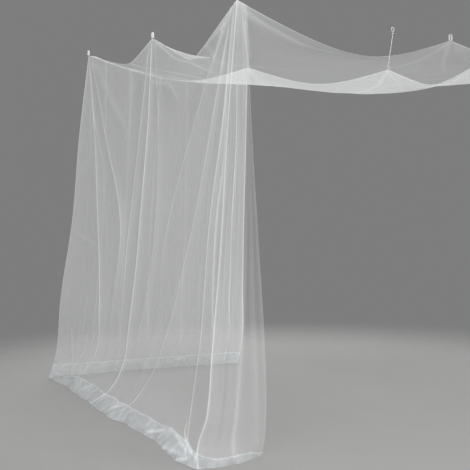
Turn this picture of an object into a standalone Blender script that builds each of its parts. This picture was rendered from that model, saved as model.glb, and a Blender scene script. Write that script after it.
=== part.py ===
# Mosquito net canopy, hung by eight tape loops round its roof, with its hem lying on the floor.
# One full side wall, half a far wall and one drawn-back curtain hang from the sagging roof panel.
# Lengths are metres. X runs along the near side, Y along the left side, and heights in the tables
# are taken up from the floor. The frame's origin is the top of the near left hanging loop.
import math
from collections import namedtuple

import bmesh
import bpy
from mathutils import Vector

# Driving dimensions
roof_width = 2.66          # near left corner to near right corner
roof_length = 2.70         # near left corner to far left corner
corner_height = 2.450      # near left roof corner above the floor
cloth_thickness = 0.002
seam_gap = 0.0003          # between two pieces that are sewn or tied to each other

interior_level = 2.240     # height of the roof cloth just inside its edges
belly_depth = 0.090        # how far the roof's belly hangs below that level
belly_shift = 2.2          # over 1 moves the belly away from the left wall
belly_fullness = 0.8       # under 1 makes the belly flatter in its middle
edge_reach = 0.26          # how far the edge's rise and fall carries into the roof

tape_width = 0.014
tape_thickness = 0.0016
loop_height = 0.036
loop_span = 0.018
loop_arc_steps = 10

cord_diameter = 0.005
cord_points = 22
knot_radius = 0.009
eye_height = 0.046         # the loop of cord above the knot
eye_width = 0.030
eye_points = 20
eye_foot_share = 0.55      # how wide the eye is near its foot, as a share of its full width

smooth_cloth_angle = math.radians(60)
smooth_tape_angle = math.radians(40)

origin_height = corner_height + seam_gap + loop_height

# The columns of the tables below
EdgePoint = namedtuple("EdgePoint", "place height roundness")
Fold = namedtuple("Fold", "name places outs ridge cells")
HangingPoint = namedtuple("HangingPoint", "name x y height turn")


def rows_of(kind, *rows):
    return tuple(kind(*row) for row in rows)


# Roof edges, a row for each hanging point and each dip between two of them:
# place along the edge, height above the floor, roundness of the dip (0 at a hanging point)
left_edge = rows_of(
    EdgePoint,
    (0.00, corner_height, 0.0),
    (0.63, 2.205, 0.10),
    (1.29, 2.405, 0.0),
    (1.76, 2.292, 0.20),
    (roof_length, 2.445, 0.0),
)
far_edge = rows_of(
    EdgePoint,
    (0.00, 2.445, 0.0),
    (0.80, 2.286, 0.50),
    (1.33, 2.411, 0.0),
    (1.95, 2.303, 0.50),
    (roof_width, 2.452, 0.0),
)
right_edge = rows_of(
    EdgePoint,
    (0.00, 2.450, 0.0),
    (0.66, 2.235, 0.30),
    (1.35, 2.405, 0.0),
    (2.02, 2.270, 0.30),
    (roof_length, 2.452, 0.0),
)
near_edge = rows_of(
    EdgePoint,
    (0.00, corner_height, 0.0),
    (0.84, 2.193, 0.50),
    (1.36, 2.310, 0.0),
    (1.86, 2.210, 0.50),
    (roof_width, 2.450, 0.0),
)
cells_along_near = (8, 5, 5, 7)    # roof cells from each row of the near and far edges to the next
cells_along_left = (7, 7, 5, 9)    # and the same along the left and right edges

# How far down the wall each column of a fold's table is read: 0 at the roof's edge, 1 at the floor
levels = (0.0, 0.26, 0.51, 0.755, 0.90, 0.965, 1.0)
wall_rows = (
    0.0, 0.01, 0.03, 0.07, 0.12, 0.18, 0.24, 0.30, 0.37, 0.44, 0.51, 0.58,
    0.65, 0.72, 0.78, 0.835, 0.88, 0.915, 0.943, 0.965, 0.985, 1.0,
)

# The two standing corners lean out past the roof's corners, by this much at each level
near_corner_left = (0.0, 0.058, 0.100, 0.145, 0.190, 0.240, 0.262)
near_corner_front = (0.0, 0.010, 0.018, 0.000, 0.028, 0.024, 0.090)
far_corner_left = (0.0, 0.078, 0.132, 0.222, 0.248, 0.274, 0.300)
far_corner_back = (0.0, 0.008, 0.020, 0.040, 0.054, 0.086, 0.110)

# Folds of each wall, in order along it. Each is one fold line from the roof's edge to the floor:
# its name, then its place along the wall at each level, how far it stands outside the roof's edge
# at each level, the height of its ridge, and the cells from it to the next fold
left_wall_folds = rows_of(
    Fold,
    ("near_corner", tuple(-front for front in near_corner_front), near_corner_left, 0.0, 2),
    ("corner_tuck", (0.03, 0.085, 0.17, 0.228, 0.298, 0.16, -0.03),
     (0.0, 0.046, 0.08, 0.11, 0.135, 0.216, 0.278), 0.014, 3),
    ("low_slack", (0.05, 0.17, 0.30, 0.44, 0.61, 0.64, 0.72),
     (0.0, 0.036, 0.07, 0.10, 0.124, 0.208, 0.255), -0.004, 2),
    ("lower_fan", (0.07, 0.26, 0.483, 0.763, 1.07, 1.155, 1.33),
     (0.0, 0.030, 0.06, 0.10, 0.126, 0.228, 0.302), 0.012, 2),
    ("upper_fan", (0.12, 0.555, 0.90, 1.02, 1.23, 1.32, 1.46),
     (0.0, 0.025, 0.05, 0.09, 0.122, 0.218, 0.300), 0.010, 4),
    ("near_dip", (0.63, 0.82, 0.99, 1.15, 1.34, 1.42, 1.55),
     (0.0, 0.025, 0.055, 0.09, 0.122, 0.215, 0.296), -0.004, 4),
    ("middle_left", (1.25, 1.10, 1.08, 1.27, 1.45, 1.51, 1.64),
     (0.0, 0.03, 0.06, 0.095, 0.122, 0.215, 0.292), 0.008, 2),
    ("middle", (1.29, 1.281, 1.322, 1.446, 1.565, 1.60, 1.74),
     (0.0, 0.032, 0.065, 0.10, 0.127, 0.225, 0.299), 0.016, 2),
    ("middle_right", (1.33, 1.455, 1.58, 1.64, 1.73, 1.81, 1.95),
     (0.0, 0.03, 0.06, 0.095, 0.122, 0.217, 0.291), 0.008, 4),
    ("far_dip", (1.76, 1.74, 1.67, 1.76, 1.84, 1.94, 2.09),
     (0.0, 0.025, 0.055, 0.09, 0.122, 0.218, 0.292), -0.004, 4),
    ("far_fan", (2.60, 2.143, 1.76, 1.87, 1.95, 2.08, 2.24),
     (0.0, 0.028, 0.06, 0.095, 0.127, 0.223, 0.290), 0.012, 3),
    ("far_drop", (2.66, 2.385, 2.155, 2.03, 2.105, 2.25, 2.42),
     (0.0, 0.036, 0.08, 0.12, 0.148, 0.238, 0.300), 0.016, 4),
    ("far_corner", tuple(roof_length + back for back in far_corner_back), far_corner_left, 0.0, 0),
)
far_wall_folds = rows_of(
    Fold,
    ("far_corner", tuple(-left for left in far_corner_left), far_corner_back, 0.0, 3),
    ("first_drop", (0.14, 0.13, 0.11, 0.06, 0.027, 0.0, -0.02),
     (0.0, 0.008, 0.015, 0.03, 0.041, 0.085, 0.125), 0.010, 2),
    ("second_drop", (0.34, 0.32, 0.29, 0.25, 0.24, 0.24, 0.24),
     (0.0, 0.006, 0.01, 0.02, 0.034, 0.080, 0.135), 0.006, 2),
    ("third_drop", (0.58, 0.54, 0.50, 0.48, 0.478, 0.49, 0.50),
     (0.0, 0.006, 0.01, 0.02, 0.029, 0.080, 0.14), 0.010, 3),
    ("fourth_drop", (0.80, 0.80, 0.79, 0.76, 0.75, 0.755, 0.76),
     (0.0, 0.006, 0.01, 0.02, 0.025, 0.078, 0.14), 0.008, 2),
    ("gather_start", (1.14, 1.13, 1.06, 1.03, 1.022, 1.015, 1.01),
     (0.0, 0.006, 0.01, 0.02, 0.022, 0.074, 0.13), 0.016, 2),
    ("gather_middle", (1.24, 1.235, 1.20, 1.18, 1.172, 1.165, 1.16),
     (0.0, 0.006, 0.01, 0.02, 0.021, 0.070, 0.12), 0.022, 2),
    ("free_edge", (1.325, 1.315, 1.30, 1.293, 1.291, 1.285, 1.28),
     (0.0, 0.006, 0.01, 0.015, 0.014, 0.058, 0.10), 0.0, 0),
)
near_curtain_folds = rows_of(
    Fold,
    ("near_corner", tuple(-left for left in near_corner_left), near_corner_front, 0.0, 2),
    ("corner_pleat", (0.01, -0.01, -0.03, -0.08, -0.11, -0.14, -0.16),
     (0.0, 0.01, 0.02, 0.03, 0.036, 0.036, 0.10), 0.016, 2),
    ("soft_pleat", (0.035, 0.040, 0.036, 0.010, -0.018, -0.035, -0.045),
     (0.0, 0.014, 0.03, 0.036, 0.036, 0.036, 0.09), 0.018, 2),
    ("edge_pleat", (0.047, 0.062, 0.08, 0.10, 0.11, 0.10, 0.08),
     (0.0, 0.008, 0.015, 0.018, 0.012, 0.004, 0.02), 0.014, 2),
    ("free_edge", (0.06, 0.085, 0.125, 0.172, 0.185, 0.180, 0.17),
     (0.0, 0.003, 0.005, -0.01, -0.018, -0.030, -0.04), 0.0, 0),
)
gore_sink = 0.35           # how deep the cloth sinks between two folds, as a share of their ridges
least_sink = 0.006
first_swell = 0.04         # how far along its swelling a ridge is where it leaves the roof
swell_spread = 0.7         # under 1 keeps a ridge near its full height over more of the wall

# Hanging points, a row for each: name, X, Y, height, turn of the loop about Z in degrees
hanging_points = rows_of(
    HangingPoint,
    ("near_left", 0.0, 0.0, corner_height, 0.0),
    ("left_middle", 0.0, left_edge[2].place, left_edge[2].height, 90.0),
    ("far_left", 0.0, roof_length, left_edge[4].height, 90.0),
    ("far_middle", far_edge[2].place, roof_length, far_edge[2].height, 0.0),
    ("far_right", roof_width, roof_length, far_edge[4].height, 0.0),
    ("right_middle", roof_width, right_edge[2].place, right_edge[2].height, 90.0),
    ("near_right", roof_width, 0.0, near_edge[4].height, 90.0),
    ("near_middle", near_edge[2].place, 0.0, near_edge[2].height, 0.0),
)

# The two cords that show, each from its loop's top up to its knot: X, Y, height
far_middle_loop = far_edge[2].height + seam_gap + loop_height + seam_gap
far_right_loop = far_edge[4].height + seam_gap + loop_height + seam_gap
cord_routes = (
    ("far_middle", (
        (1.330, 2.700, far_middle_loop),
        (1.321, 2.700, far_middle_loop + 0.080),
        (1.311, 2.700, far_middle_loop + 0.170),
        (1.301, 2.700, far_middle_loop + 0.262),
    )),
    ("far_right", (
        (2.660, 2.700, far_right_loop),
        (2.671, 2.700, far_right_loop + 0.080),
        (2.685, 2.700, far_right_loop + 0.170),
        (2.700, 2.700, far_right_loop + 0.262),
    )),
)


def clear_scene():
    for found in list(bpy.data.objects):
        bpy.data.objects.remove(found, do_unlink=True)


def in_frame(x, y, height):
    # From floor heights to the frame whose origin is the top of the near left loop
    return Vector((x, y, height - origin_height))


def make_material(name, colour, roughness, metallic=0.0):
    material = bpy.data.materials.new(name)
    material.use_nodes = True
    shader = material.node_tree.nodes["Principled BSDF"]
    shader.inputs["Base Color"].default_value = (*colour, 1.0)
    shader.inputs["Roughness"].default_value = roughness
    shader.inputs["Metallic"].default_value = metallic
    return material


def add_object(name, data, material):
    piece = bpy.data.objects.new(name, data)
    piece.data.materials.append(material)
    bpy.context.collection.objects.link(piece)
    return piece


def through_points(places, values, place):
    # A smooth curve through a table row, straight at its two ends
    last = len(places) - 1
    i = 0
    while i < last - 1 and place > places[i + 1]:
        i += 1
    slopes = [(values[k + 1] - values[k]) / (places[k + 1] - places[k]) for k in range(last)]
    start = slopes[i] if i == 0 else 0.5 * (slopes[i - 1] + slopes[i])
    end = slopes[i] if i == last - 1 else 0.5 * (slopes[i] + slopes[i + 1])
    span = places[i + 1] - places[i]
    u = (place - places[i]) / span
    return (
        values[i] * (2 * u ** 3 - 3 * u ** 2 + 1)
        + start * span * (u ** 3 - 2 * u ** 2 + u)
        + values[i + 1] * (3 * u ** 2 - 2 * u ** 3)
        + end * span * (u ** 3 - u ** 2)
    )


def dip_curve(u, roundness):
    # 0 at the bottom of a dip and 1 at the hanging point: straight sides with a rounded bottom
    return (math.hypot(u, roundness) - roundness) / (math.hypot(1.0, roundness) - roundness)


def edge_height(edge, place):
    i = 0
    while i < len(edge) - 2 and place > edge[i + 1].place:
        i += 1
    dip, hung = (edge[i + 1], edge[i]) if edge[i + 1].roundness else (edge[i], edge[i + 1])
    u = abs(place - dip.place) / abs(hung.place - dip.place)
    return dip.height + (hung.height - dip.height) * dip_curve(u, dip.roundness)


def belly_height(x, y):
    share_x = min(max(x / roof_width, 0.0), 1.0) ** belly_shift
    share_y = min(max(y / roof_length, 0.0), 1.0)
    bowl = 16.0 * share_x * (1.0 - share_x) * share_y * (1.0 - share_y)
    return interior_level - belly_depth * max(bowl, 0.0) ** belly_fullness


def roof_height(x, y):
    # The belly, lifted near each edge to that edge's own line of tips and dips
    height = belly_height(x, y)
    sides_x = (
        (math.exp(-x / edge_reach), 0.0, edge_height(left_edge, y)),
        (math.exp(-(roof_width - x) / edge_reach), roof_width, edge_height(right_edge, y)),
    )
    sides_y = (
        (math.exp(-y / edge_reach), 0.0, edge_height(near_edge, x)),
        (math.exp(-(roof_length - y) / edge_reach), roof_length, edge_height(far_edge, x)),
    )
    for weight, side, line in sides_x:
        height += weight * (line - belly_height(side, y))
    for weight, side, line in sides_y:
        height += weight * (line - belly_height(x, side))
    for weight_x, side_x, _ in sides_x:
        for weight_y, side_y, _ in sides_y:
            row = near_edge if side_y == 0.0 else far_edge
            tip = row[0].height if side_x == 0.0 else row[-1].height
            height -= weight_x * weight_y * (tip - belly_height(side_x, side_y))
    return height


def edge_stations(edge, cells):
    # Places along an edge, with every tip and dip among them
    stations = [edge[0].place]
    for i, count in enumerate(cells):
        start, end = edge[i].place, edge[i + 1].place
        stations += [start + (end - start) * (k + 1) / count for k in range(count)]
    return stations


def sheet_mesh(name, inner, outer):
    # A closed thin sheet between two grids of points, both cut along the same diagonals
    rows, columns = len(inner), len(inner[0])
    bm = bmesh.new()
    back = [[bm.verts.new(point) for point in row] for row in inner]
    front = [[bm.verts.new(point) for point in row] for row in outer]
    for i in range(rows - 1):
        for j in range(columns - 1):
            for side in (back, front):
                a, b = side[i][j], side[i][j + 1]
                c, d = side[i + 1][j + 1], side[i + 1][j]
                if (i + j) % 2:
                    bm.faces.new((a, b, c))
                    bm.faces.new((a, c, d))
                else:
                    bm.faces.new((a, b, d))
                    bm.faces.new((b, c, d))
    rim = [(0, j) for j in range(columns)]
    rim += [(i, columns - 1) for i in range(1, rows)]
    rim += [(rows - 1, j) for j in range(columns - 2, -1, -1)]
    rim += [(i, 0) for i in range(rows - 2, 0, -1)]
    for (i, j), (k, m) in zip(rim, rim[1:] + rim[:1]):
        bm.faces.new((back[i][j], back[k][m], front[k][m]))
        bm.faces.new((back[i][j], front[k][m], front[i][j]))
    bmesh.ops.recalc_face_normals(bm, faces=bm.faces)
    mesh = bpy.data.meshes.new(name)
    bm.to_mesh(mesh)
    bm.free()
    mesh.shade_smooth()
    mesh.set_sharp_from_angle(angle=smooth_cloth_angle)
    return mesh


def make_roof(material):
    left_y = edge_stations(left_edge, cells_along_left)
    right_y = edge_stations(right_edge, cells_along_left)
    near_x = edge_stations(near_edge, cells_along_near)
    far_x = edge_stations(far_edge, cells_along_near)
    top = []
    for along, (y_left, y_right) in enumerate(zip(left_y, right_y)):
        row = []
        for across, (x_near, x_far) in enumerate(zip(near_x, far_x)):
            share_x = across / (len(near_x) - 1)
            share_y = along / (len(left_y) - 1)
            x = x_near + (x_far - x_near) * share_y
            y = y_left + (y_right - y_left) * share_x
            row.append(in_frame(x, y, roof_height(x, y)))
        top.append(row)
    under = [[point - Vector((0.0, 0.0, cloth_thickness)) for point in row] for row in top]
    return add_object("roof_panel", sheet_mesh("roof_panel", under, top), material)


def gore_point(first, second, share, down):
    # A point between two neighbouring fold lines: its place along the wall and its way out
    swell = math.sin(math.pi * min(1.0, first_swell + (1.0 - first_swell) * down)) ** swell_spread
    ends = []
    for fold in (first, second):
        along = through_points(levels, fold.places, down)
        out = through_points(levels, fold.outs, down)
        ends.append((along, out + fold.ridge * swell))
    along = ends[0][0] + (ends[1][0] - ends[0][0]) * share
    out = ends[0][1] + (ends[1][1] - ends[0][1]) * share
    sink = (least_sink + gore_sink * (first.ridge + second.ridge)) * math.sin(math.pi * down)
    return along, out - sink * math.sin(math.pi * share)


def wall_grid(folds, edge, to_place):
    # Rows of points down a wall, from the roof's edge to the floor
    columns = []
    for i in range(len(folds) - 1):
        columns += [(i, k / folds[i].cells) for k in range(folds[i].cells)]
    columns.append((len(folds) - 2, 1.0))
    grid = []
    for down in wall_rows:
        row = []
        for i, share in columns:
            start = folds[i].places[0]
            end = folds[i + 1].places[0]
            top = edge_height(edge, min(max(start + (end - start) * share, 0.0), edge[-1].place))
            along, out = gore_point(folds[i], folds[i + 1], share, down)
            row.append(in_frame(*to_place(along, out), top * (1.0 - down)))
        grid.append(row)
    return grid


def thickened(grid, outward):
    # Moves each point of a grid out by the cloth's thickness, square to the cloth and never under the floor
    rows, columns = len(grid), len(grid[0])
    moved = []
    for i in range(rows):
        row = []
        for j in range(columns):
            down = grid[min(i + 1, rows - 1)][j] - grid[max(i - 1, 0)][j]
            along = grid[i][min(j + 1, columns - 1)] - grid[i][max(j - 1, 0)]
            normal = along.cross(down).normalized()
            if normal.dot(outward) < 0.0:
                normal.negate()
            point = grid[i][j] + normal * cloth_thickness
            point.z = max(point.z, -origin_height)
            row.append(point)
        moved.append(row)
    return moved


def make_wall(name, folds, edge, to_place, outward, material):
    # to_place turns a place along the wall and a way out into X and Y
    grid = wall_grid(folds, edge, to_place)
    mesh = sheet_mesh(name, grid, thickened(grid, outward))
    return add_object(name, mesh, material)


def left_place(along, out):
    # The left wall stands outside X = 0, and keeps a seam's gap to the walls at its two corners
    share = min(max(along / roof_length, 0.0), 1.0)
    return -max(out, seam_gap), along + seam_gap * (1.0 - 2.0 * share)


def far_place(along, out):
    return along + seam_gap, roof_length + max(out, seam_gap)


def near_place(along, out):
    # The drawn-back curtain may drift in past the roof's edge, but only below the roof
    return along + seam_gap, -out if out < 0.0 else -max(out, seam_gap)


def ring_outline(radius, base):
    # Half a circle over two straight legs and a level base, from the right foot round to the left
    outline = [(radius, base)]
    for k in range(loop_arc_steps + 1):
        angle = math.pi * k / loop_arc_steps
        outline.append((radius * math.cos(angle), loop_height - loop_span / 2 + radius * math.sin(angle)))
    outline.append((-radius, base))
    return outline


def make_loop(point, material):
    # A tape sewn into a tall ring, whose base lies on the tip of the cloth below it
    name = "loop_" + point.name
    cosine, sine = math.cos(math.radians(point.turn)), math.sin(math.radians(point.turn))
    outer = ring_outline(loop_span / 2, 0.0)
    inner = ring_outline(loop_span / 2 - tape_thickness, tape_thickness)
    bm = bmesh.new()
    rings = []
    for outside, inside in zip(outer, inner):
        corners = []
        for (across, up), side in ((outside, -0.5), (inside, -0.5), (inside, 0.5), (outside, 0.5)):
            back = side * tape_width
            corners.append(bm.verts.new(in_frame(
                point.x + across * cosine - back * sine,
                point.y + across * sine + back * cosine,
                point.height + seam_gap + up,
            )))
        rings.append(corners)
    for ring, following in zip(rings, rings[1:] + rings[:1]):
        for k in range(4):
            bm.faces.new((ring[k], ring[(k + 1) % 4], following[(k + 1) % 4], following[k]))
    bmesh.ops.recalc_face_normals(bm, faces=bm.faces)
    mesh = bpy.data.meshes.new(name)
    bm.to_mesh(mesh)
    bm.free()
    mesh.shade_smooth()
    mesh.set_sharp_from_angle(angle=smooth_tape_angle)
    return add_object(name, mesh, material)


def make_cord_curve(name, points, closed, material):
    curve = bpy.data.curves.new(name, "CURVE")
    curve.dimensions = "3D"
    curve.bevel_depth = cord_diameter / 2
    curve.bevel_resolution = 2
    curve.use_fill_caps = not closed
    spline = curve.splines.new("POLY")
    spline.points.add(len(points) - 1)
    for target, point in zip(spline.points, points):
        target.co = (*point, 1.0)
    spline.use_cyclic_u = closed
    return add_object(name, curve, material)


def smooth_route(route):
    # Points spread evenly up the smooth curve through a route's own points
    heights = [row[2] for row in route]
    points = []
    for k in range(cord_points):
        height = heights[0] + (heights[-1] - heights[0]) * k / (cord_points - 1)
        x = through_points(heights, [row[0] for row in route], height)
        y = through_points(heights, [row[1] for row in route], height)
        points.append(in_frame(x, y, height))
    return points


def make_knot(name, centre, material):
    bm = bmesh.new()
    bmesh.ops.create_uvsphere(bm, u_segments=12, v_segments=8, radius=knot_radius)
    bmesh.ops.translate(bm, verts=bm.verts, vec=centre)
    mesh = bpy.data.meshes.new(name)
    bm.to_mesh(mesh)
    bm.free()
    mesh.shade_smooth()
    return add_object(name, mesh, material)


def make_eye(name, foot, material):
    # The loop of cord above a knot, narrow at its foot like a drop
    points = []
    for k in range(eye_points):
        angle = 2.0 * math.pi * k / eye_points
        rise = 0.5 * (1.0 - math.cos(angle))
        width = 0.5 * eye_width * math.sin(angle) * (eye_foot_share + (1.0 - eye_foot_share) * rise)
        lift = cord_diameter / 2 + seam_gap + (eye_height - cord_diameter) * rise
        points.append(foot + Vector((width, 0.0, lift)))
    return make_cord_curve(name, points, True, material)


def make_tie(name, route, material):
    # One taut cord, the knot at its top and the loop of cord above the knot
    points = smooth_route(route)
    make_cord_curve("cord_" + name, points, False, material)
    centre = points[-1] + Vector((0.0, 0.0, seam_gap + knot_radius))
    make_knot("knot_" + name, centre, material)
    make_eye("eye_" + name, centre + Vector((0.0, 0.0, knot_radius)), material)


def main():
    clear_scene()
    net = make_material("net", (0.86, 0.87, 0.87), 0.80)
    tape = make_material("tape", (0.82, 0.82, 0.80), 0.75)
    cord = make_material("cord", (0.80, 0.80, 0.77), 0.85)
    outside_left = Vector((-1.0, 0.0, 0.0))
    outside_far = Vector((0.0, 1.0, 0.0))
    outside_near = Vector((0.0, -1.0, 0.0))
    make_roof(net)
    make_wall("left_wall", left_wall_folds, left_edge, left_place, outside_left, net)
    make_wall("far_wall", far_wall_folds, far_edge, far_place, outside_far, net)
    make_wall("near_curtain", near_curtain_folds, near_edge, near_place, outside_near, net)
    for point in hanging_points:
        make_loop(point, tape)
    for name, route in cord_routes:
        make_tie(name, route, cord)


main()
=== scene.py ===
import math
from collections import namedtuple

import bmesh
import bpy
import numpy as np
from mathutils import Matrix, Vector


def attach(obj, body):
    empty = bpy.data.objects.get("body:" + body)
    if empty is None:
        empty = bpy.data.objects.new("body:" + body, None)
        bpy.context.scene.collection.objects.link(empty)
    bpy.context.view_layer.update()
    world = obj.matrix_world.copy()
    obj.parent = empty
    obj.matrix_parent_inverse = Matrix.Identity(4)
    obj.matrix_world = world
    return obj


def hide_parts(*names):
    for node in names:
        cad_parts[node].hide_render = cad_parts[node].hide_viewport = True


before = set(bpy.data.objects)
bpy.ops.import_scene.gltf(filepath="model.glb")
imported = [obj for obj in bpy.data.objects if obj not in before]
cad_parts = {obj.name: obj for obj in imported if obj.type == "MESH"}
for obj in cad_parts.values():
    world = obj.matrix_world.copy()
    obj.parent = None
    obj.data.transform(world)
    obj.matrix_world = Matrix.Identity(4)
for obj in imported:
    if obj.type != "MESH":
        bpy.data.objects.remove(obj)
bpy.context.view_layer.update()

# A sheer mosquito net canopy: sagging roof, one side wall, half a back wall and a drawn-back curtain.
# Lengths are metres. Heights in the tables are above the floor, which is 2.4863 m under the origin.
floorDepth = 2.4863


def report(stage):
    print("net canopy:", stage)


# Short forms for building materials
def newMaterial(name):
    material = bpy.data.materials.new(name)
    material.use_nodes = True
    nodes = material.node_tree.nodes
    return material, nodes, material.node_tree.links, nodes["Principled BSDF"]


def setInputs(node, inputs):
    for label, value in inputs.items():
        node.inputs[label].default_value = value
    return node


def mathNode(nodes, links, operation, first, second, clamp=False):
    node = nodes.new("ShaderNodeMath")
    node.operation = operation
    node.use_clamp = clamp
    for socket, value in zip(node.inputs, (first, second)):
        if isinstance(value, (int, float)):
            socket.default_value = value
        else:
            links.new(value, socket)
    return node.outputs[0]


def mixColours(nodes, links, shader, factor, first, second):
    node = nodes.new("ShaderNodeMix")
    node.data_type = "RGBA"
    links.new(factor, node.inputs[0])
    for socket, colour in ((node.inputs[6], first), (node.inputs[7], second)):
        socket.default_value = (*colour, 1.0)
    links.new(node.outputs[2], shader.inputs["Base Color"])


def addBump(nodes, links, shader, height, settings):
    bump = setInputs(nodes.new("ShaderNodeBump"), settings)
    links.new(height, bump.inputs["Height"])
    links.new(bump.outputs["Normal"], shader.inputs["Normal"])


# Camera, light and floor
stageSettings = {
    "cameraPlace": (-2.36, -5.18, 1.5),
    "cameraYaw": 24.4,             # degrees from +Y towards +X
    "cameraPitch": -2.9,
    "focalLength": 82.1,
    "sensorWidth": 36.0,
    "farthestSeen": 100.0,
    "netLayers": 40,               # how many sheer layers a ray may pass
    "worldColour": (0.205, 0.207, 0.205),
    "floorColour": (0.345, 0.345, 0.34),
    "floorMottle": (0.97, 1.03),   # its darkest and lightest, as shares of its colour
    "floorNoise": {"Scale": 3.0, "Detail": 4.0},
    "floorSurface": {"Roughness": 0.85, "Specular IOR Level": 0.15},
    "floorCentre": (1.15, 1.35),
    "floorRadius": 4.2,
    "floorSides": 96,
    "floorFade": (0.50, 1.0),      # where the floor starts to fade and ends, as shares of its radius
    "floorDrop": 0.002,            # how far it lies under the hems
}
# Soft lamps: place, the point each one faces, width and height, power
Lamp = namedtuple("Lamp", "name place target size power")
lamps = (
    Lamp("keyLight", (-4.6, -4.0, 2.2), (0.6, 1.0, -1.2), (3.0, 3.0), 330.0),
    Lamp("fillLight", (5.2, -3.6, 0.8), (1.2, 1.4, -1.2), (3.5, 3.0), 150.0),
    Lamp("backLight", (2.4, 7.2, 1.8), (1.0, 1.4, -1.0), (4.0, 3.0), 210.0),
    Lamp("topLight", (1.3, 1.3, 3.2), (1.3, 1.35, -0.5), (4.0, 4.0), 150.0),
    Lamp("lowLight", (-1.2, -4.4, -2.0), (1.3, 1.4, -0.2), (3.0, 1.2), 90.0),
    Lamp("underLight", (1.3, 1.35, -2.3), (1.3, 1.36, 0.0), (2.4, 2.4), 15.0),
)


def makeCamera():
    s = stageSettings
    data = bpy.data.cameras.new("camera")
    data.lens = s["focalLength"]
    data.sensor_width = s["sensorWidth"]
    data.clip_end = s["farthestSeen"]
    camera = bpy.data.objects.new("camera", data)
    x, y, height = s["cameraPlace"]
    camera.location = (x, y, height - floorDepth)
    camera.rotation_euler = (math.radians(90.0 + s["cameraPitch"]), 0.0, math.radians(-s["cameraYaw"]))
    bpy.context.collection.objects.link(camera)
    bpy.context.scene.camera = camera


def makeLamp(lamp):
    data = bpy.data.lights.new(lamp.name, "AREA")
    data.shape = "RECTANGLE"
    data.size, data.size_y = lamp.size
    data.energy = lamp.power
    thing = bpy.data.objects.new(lamp.name, data)
    thing.location = lamp.place
    facing = Vector(lamp.target) - Vector(lamp.place)
    thing.rotation_euler = facing.to_track_quat("-Z", "Y").to_euler()
    thing.visible_camera = False
    bpy.context.collection.objects.link(thing)


def makeSurroundings():
    s = stageSettings
    scene = bpy.context.scene
    scene.view_settings.view_transform = "Standard"
    scene.cycles.transparent_max_bounces = s["netLayers"]
    world = bpy.data.worlds.new("studio")
    world.use_nodes = True
    world.node_tree.nodes["Background"].inputs["Color"].default_value = (*s["worldColour"], 1.0)
    scene.world = world
    for lamp in lamps:
        makeLamp(lamp)


def makeFloor():
    # A disc that fades out at its rim
    s = stageSettings
    mesh = bpy.data.meshes.new("floor")
    bm = bmesh.new()
    bmesh.ops.create_circle(bm, cap_ends=True, radius=s["floorRadius"], segments=s["floorSides"])
    bm.to_mesh(mesh)
    bm.free()
    ground = bpy.data.objects.new("floor", mesh)
    ground.location = (*s["floorCentre"], -floorDepth - s["floorDrop"])
    bpy.context.collection.objects.link(ground)

    material, nodes, links, shader = newMaterial("paleFloor")
    setInputs(shader, s["floorSurface"])
    coordinates = nodes.new("ShaderNodeTexCoord")
    distance = nodes.new("ShaderNodeVectorMath")
    distance.operation = "LENGTH"
    fade = nodes.new("ShaderNodeMapRange")
    fade.interpolation_type = "SMOOTHSTEP"
    start, end = (share * s["floorRadius"] for share in s["floorFade"])
    setInputs(fade, {"From Min": start, "From Max": end, "To Min": 1.0, "To Max": 0.0})
    mottle = setInputs(nodes.new("ShaderNodeTexNoise"), s["floorNoise"])
    dark, light = (tuple(share * c for c in s["floorColour"]) for share in s["floorMottle"])
    links.new(coordinates.outputs["Object"], distance.inputs[0])
    links.new(coordinates.outputs["Object"], mottle.inputs["Vector"])
    links.new(distance.outputs["Value"], fade.inputs["Value"])
    links.new(fade.outputs["Result"], shader.inputs["Alpha"])
    mixColours(nodes, links, shader, mottle.outputs["Fac"], dark, light)
    mesh.materials.append(material)


makeCamera()
makeSurroundings()
makeFloor()
report("camera, lights and floor")


# Curves and noise that the pieces share
def throughPoints(places, values, at):
    # A smooth curve through a table row, straight at its two ends, read at many places at once
    places, values, at = (np.asarray(a, float) for a in (places, values, at))
    slopes = np.diff(values) / np.diff(places)
    tangents = np.concatenate([slopes[:1], 0.5 * (slopes[:-1] + slopes[1:]), slopes[-1:]])
    i = np.clip(np.searchsorted(places, at) - 1, 0, len(places) - 2)
    span = places[i + 1] - places[i]
    u = (at - places[i]) / span
    return (
        values[i] * (2 * u ** 3 - 3 * u ** 2 + 1)
        + tangents[i] * span * (u ** 3 - 2 * u ** 2 + u)
        + values[i + 1] * (3 * u ** 2 - 2 * u ** 3)
        + tangents[i + 1] * span * (u ** 3 - u ** 2)
    )


def softNoise(u, v, seed):
    # Smooth noise from -1 to 1 over a plane, one bump per unit; it repeats after so many bumps each way
    repeatU, repeatV = 96, 88
    table = np.random.default_rng(seed).uniform(-1.0, 1.0, (repeatU + 1, repeatV + 1))
    table[repeatU], table[:, repeatV] = table[0], table[:, 0]
    u, v = np.broadcast_arrays(np.asarray(u, float), np.asarray(v, float))
    i, j = np.floor(u).astype(int), np.floor(v).astype(int)
    a, b = u - i, v - j
    a, b = a * a * (3 - 2 * a), b * b * (3 - 2 * b)
    i, j = i % repeatU, j % repeatV
    near = table[i, j] * (1 - a) + table[i + 1, j] * a
    far = table[i, j + 1] * (1 - a) + table[i + 1, j + 1] * a
    return near * (1 - b) + far * b


def smoothStep(low, high, at):
    u = np.clip((np.asarray(at, float) - low) / (high - low), 0.0, 1.0)
    return u * u * (3 - 2 * u)


def bell(distance, width):
    return np.exp(-(np.asarray(distance) / width) ** 2)


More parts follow.
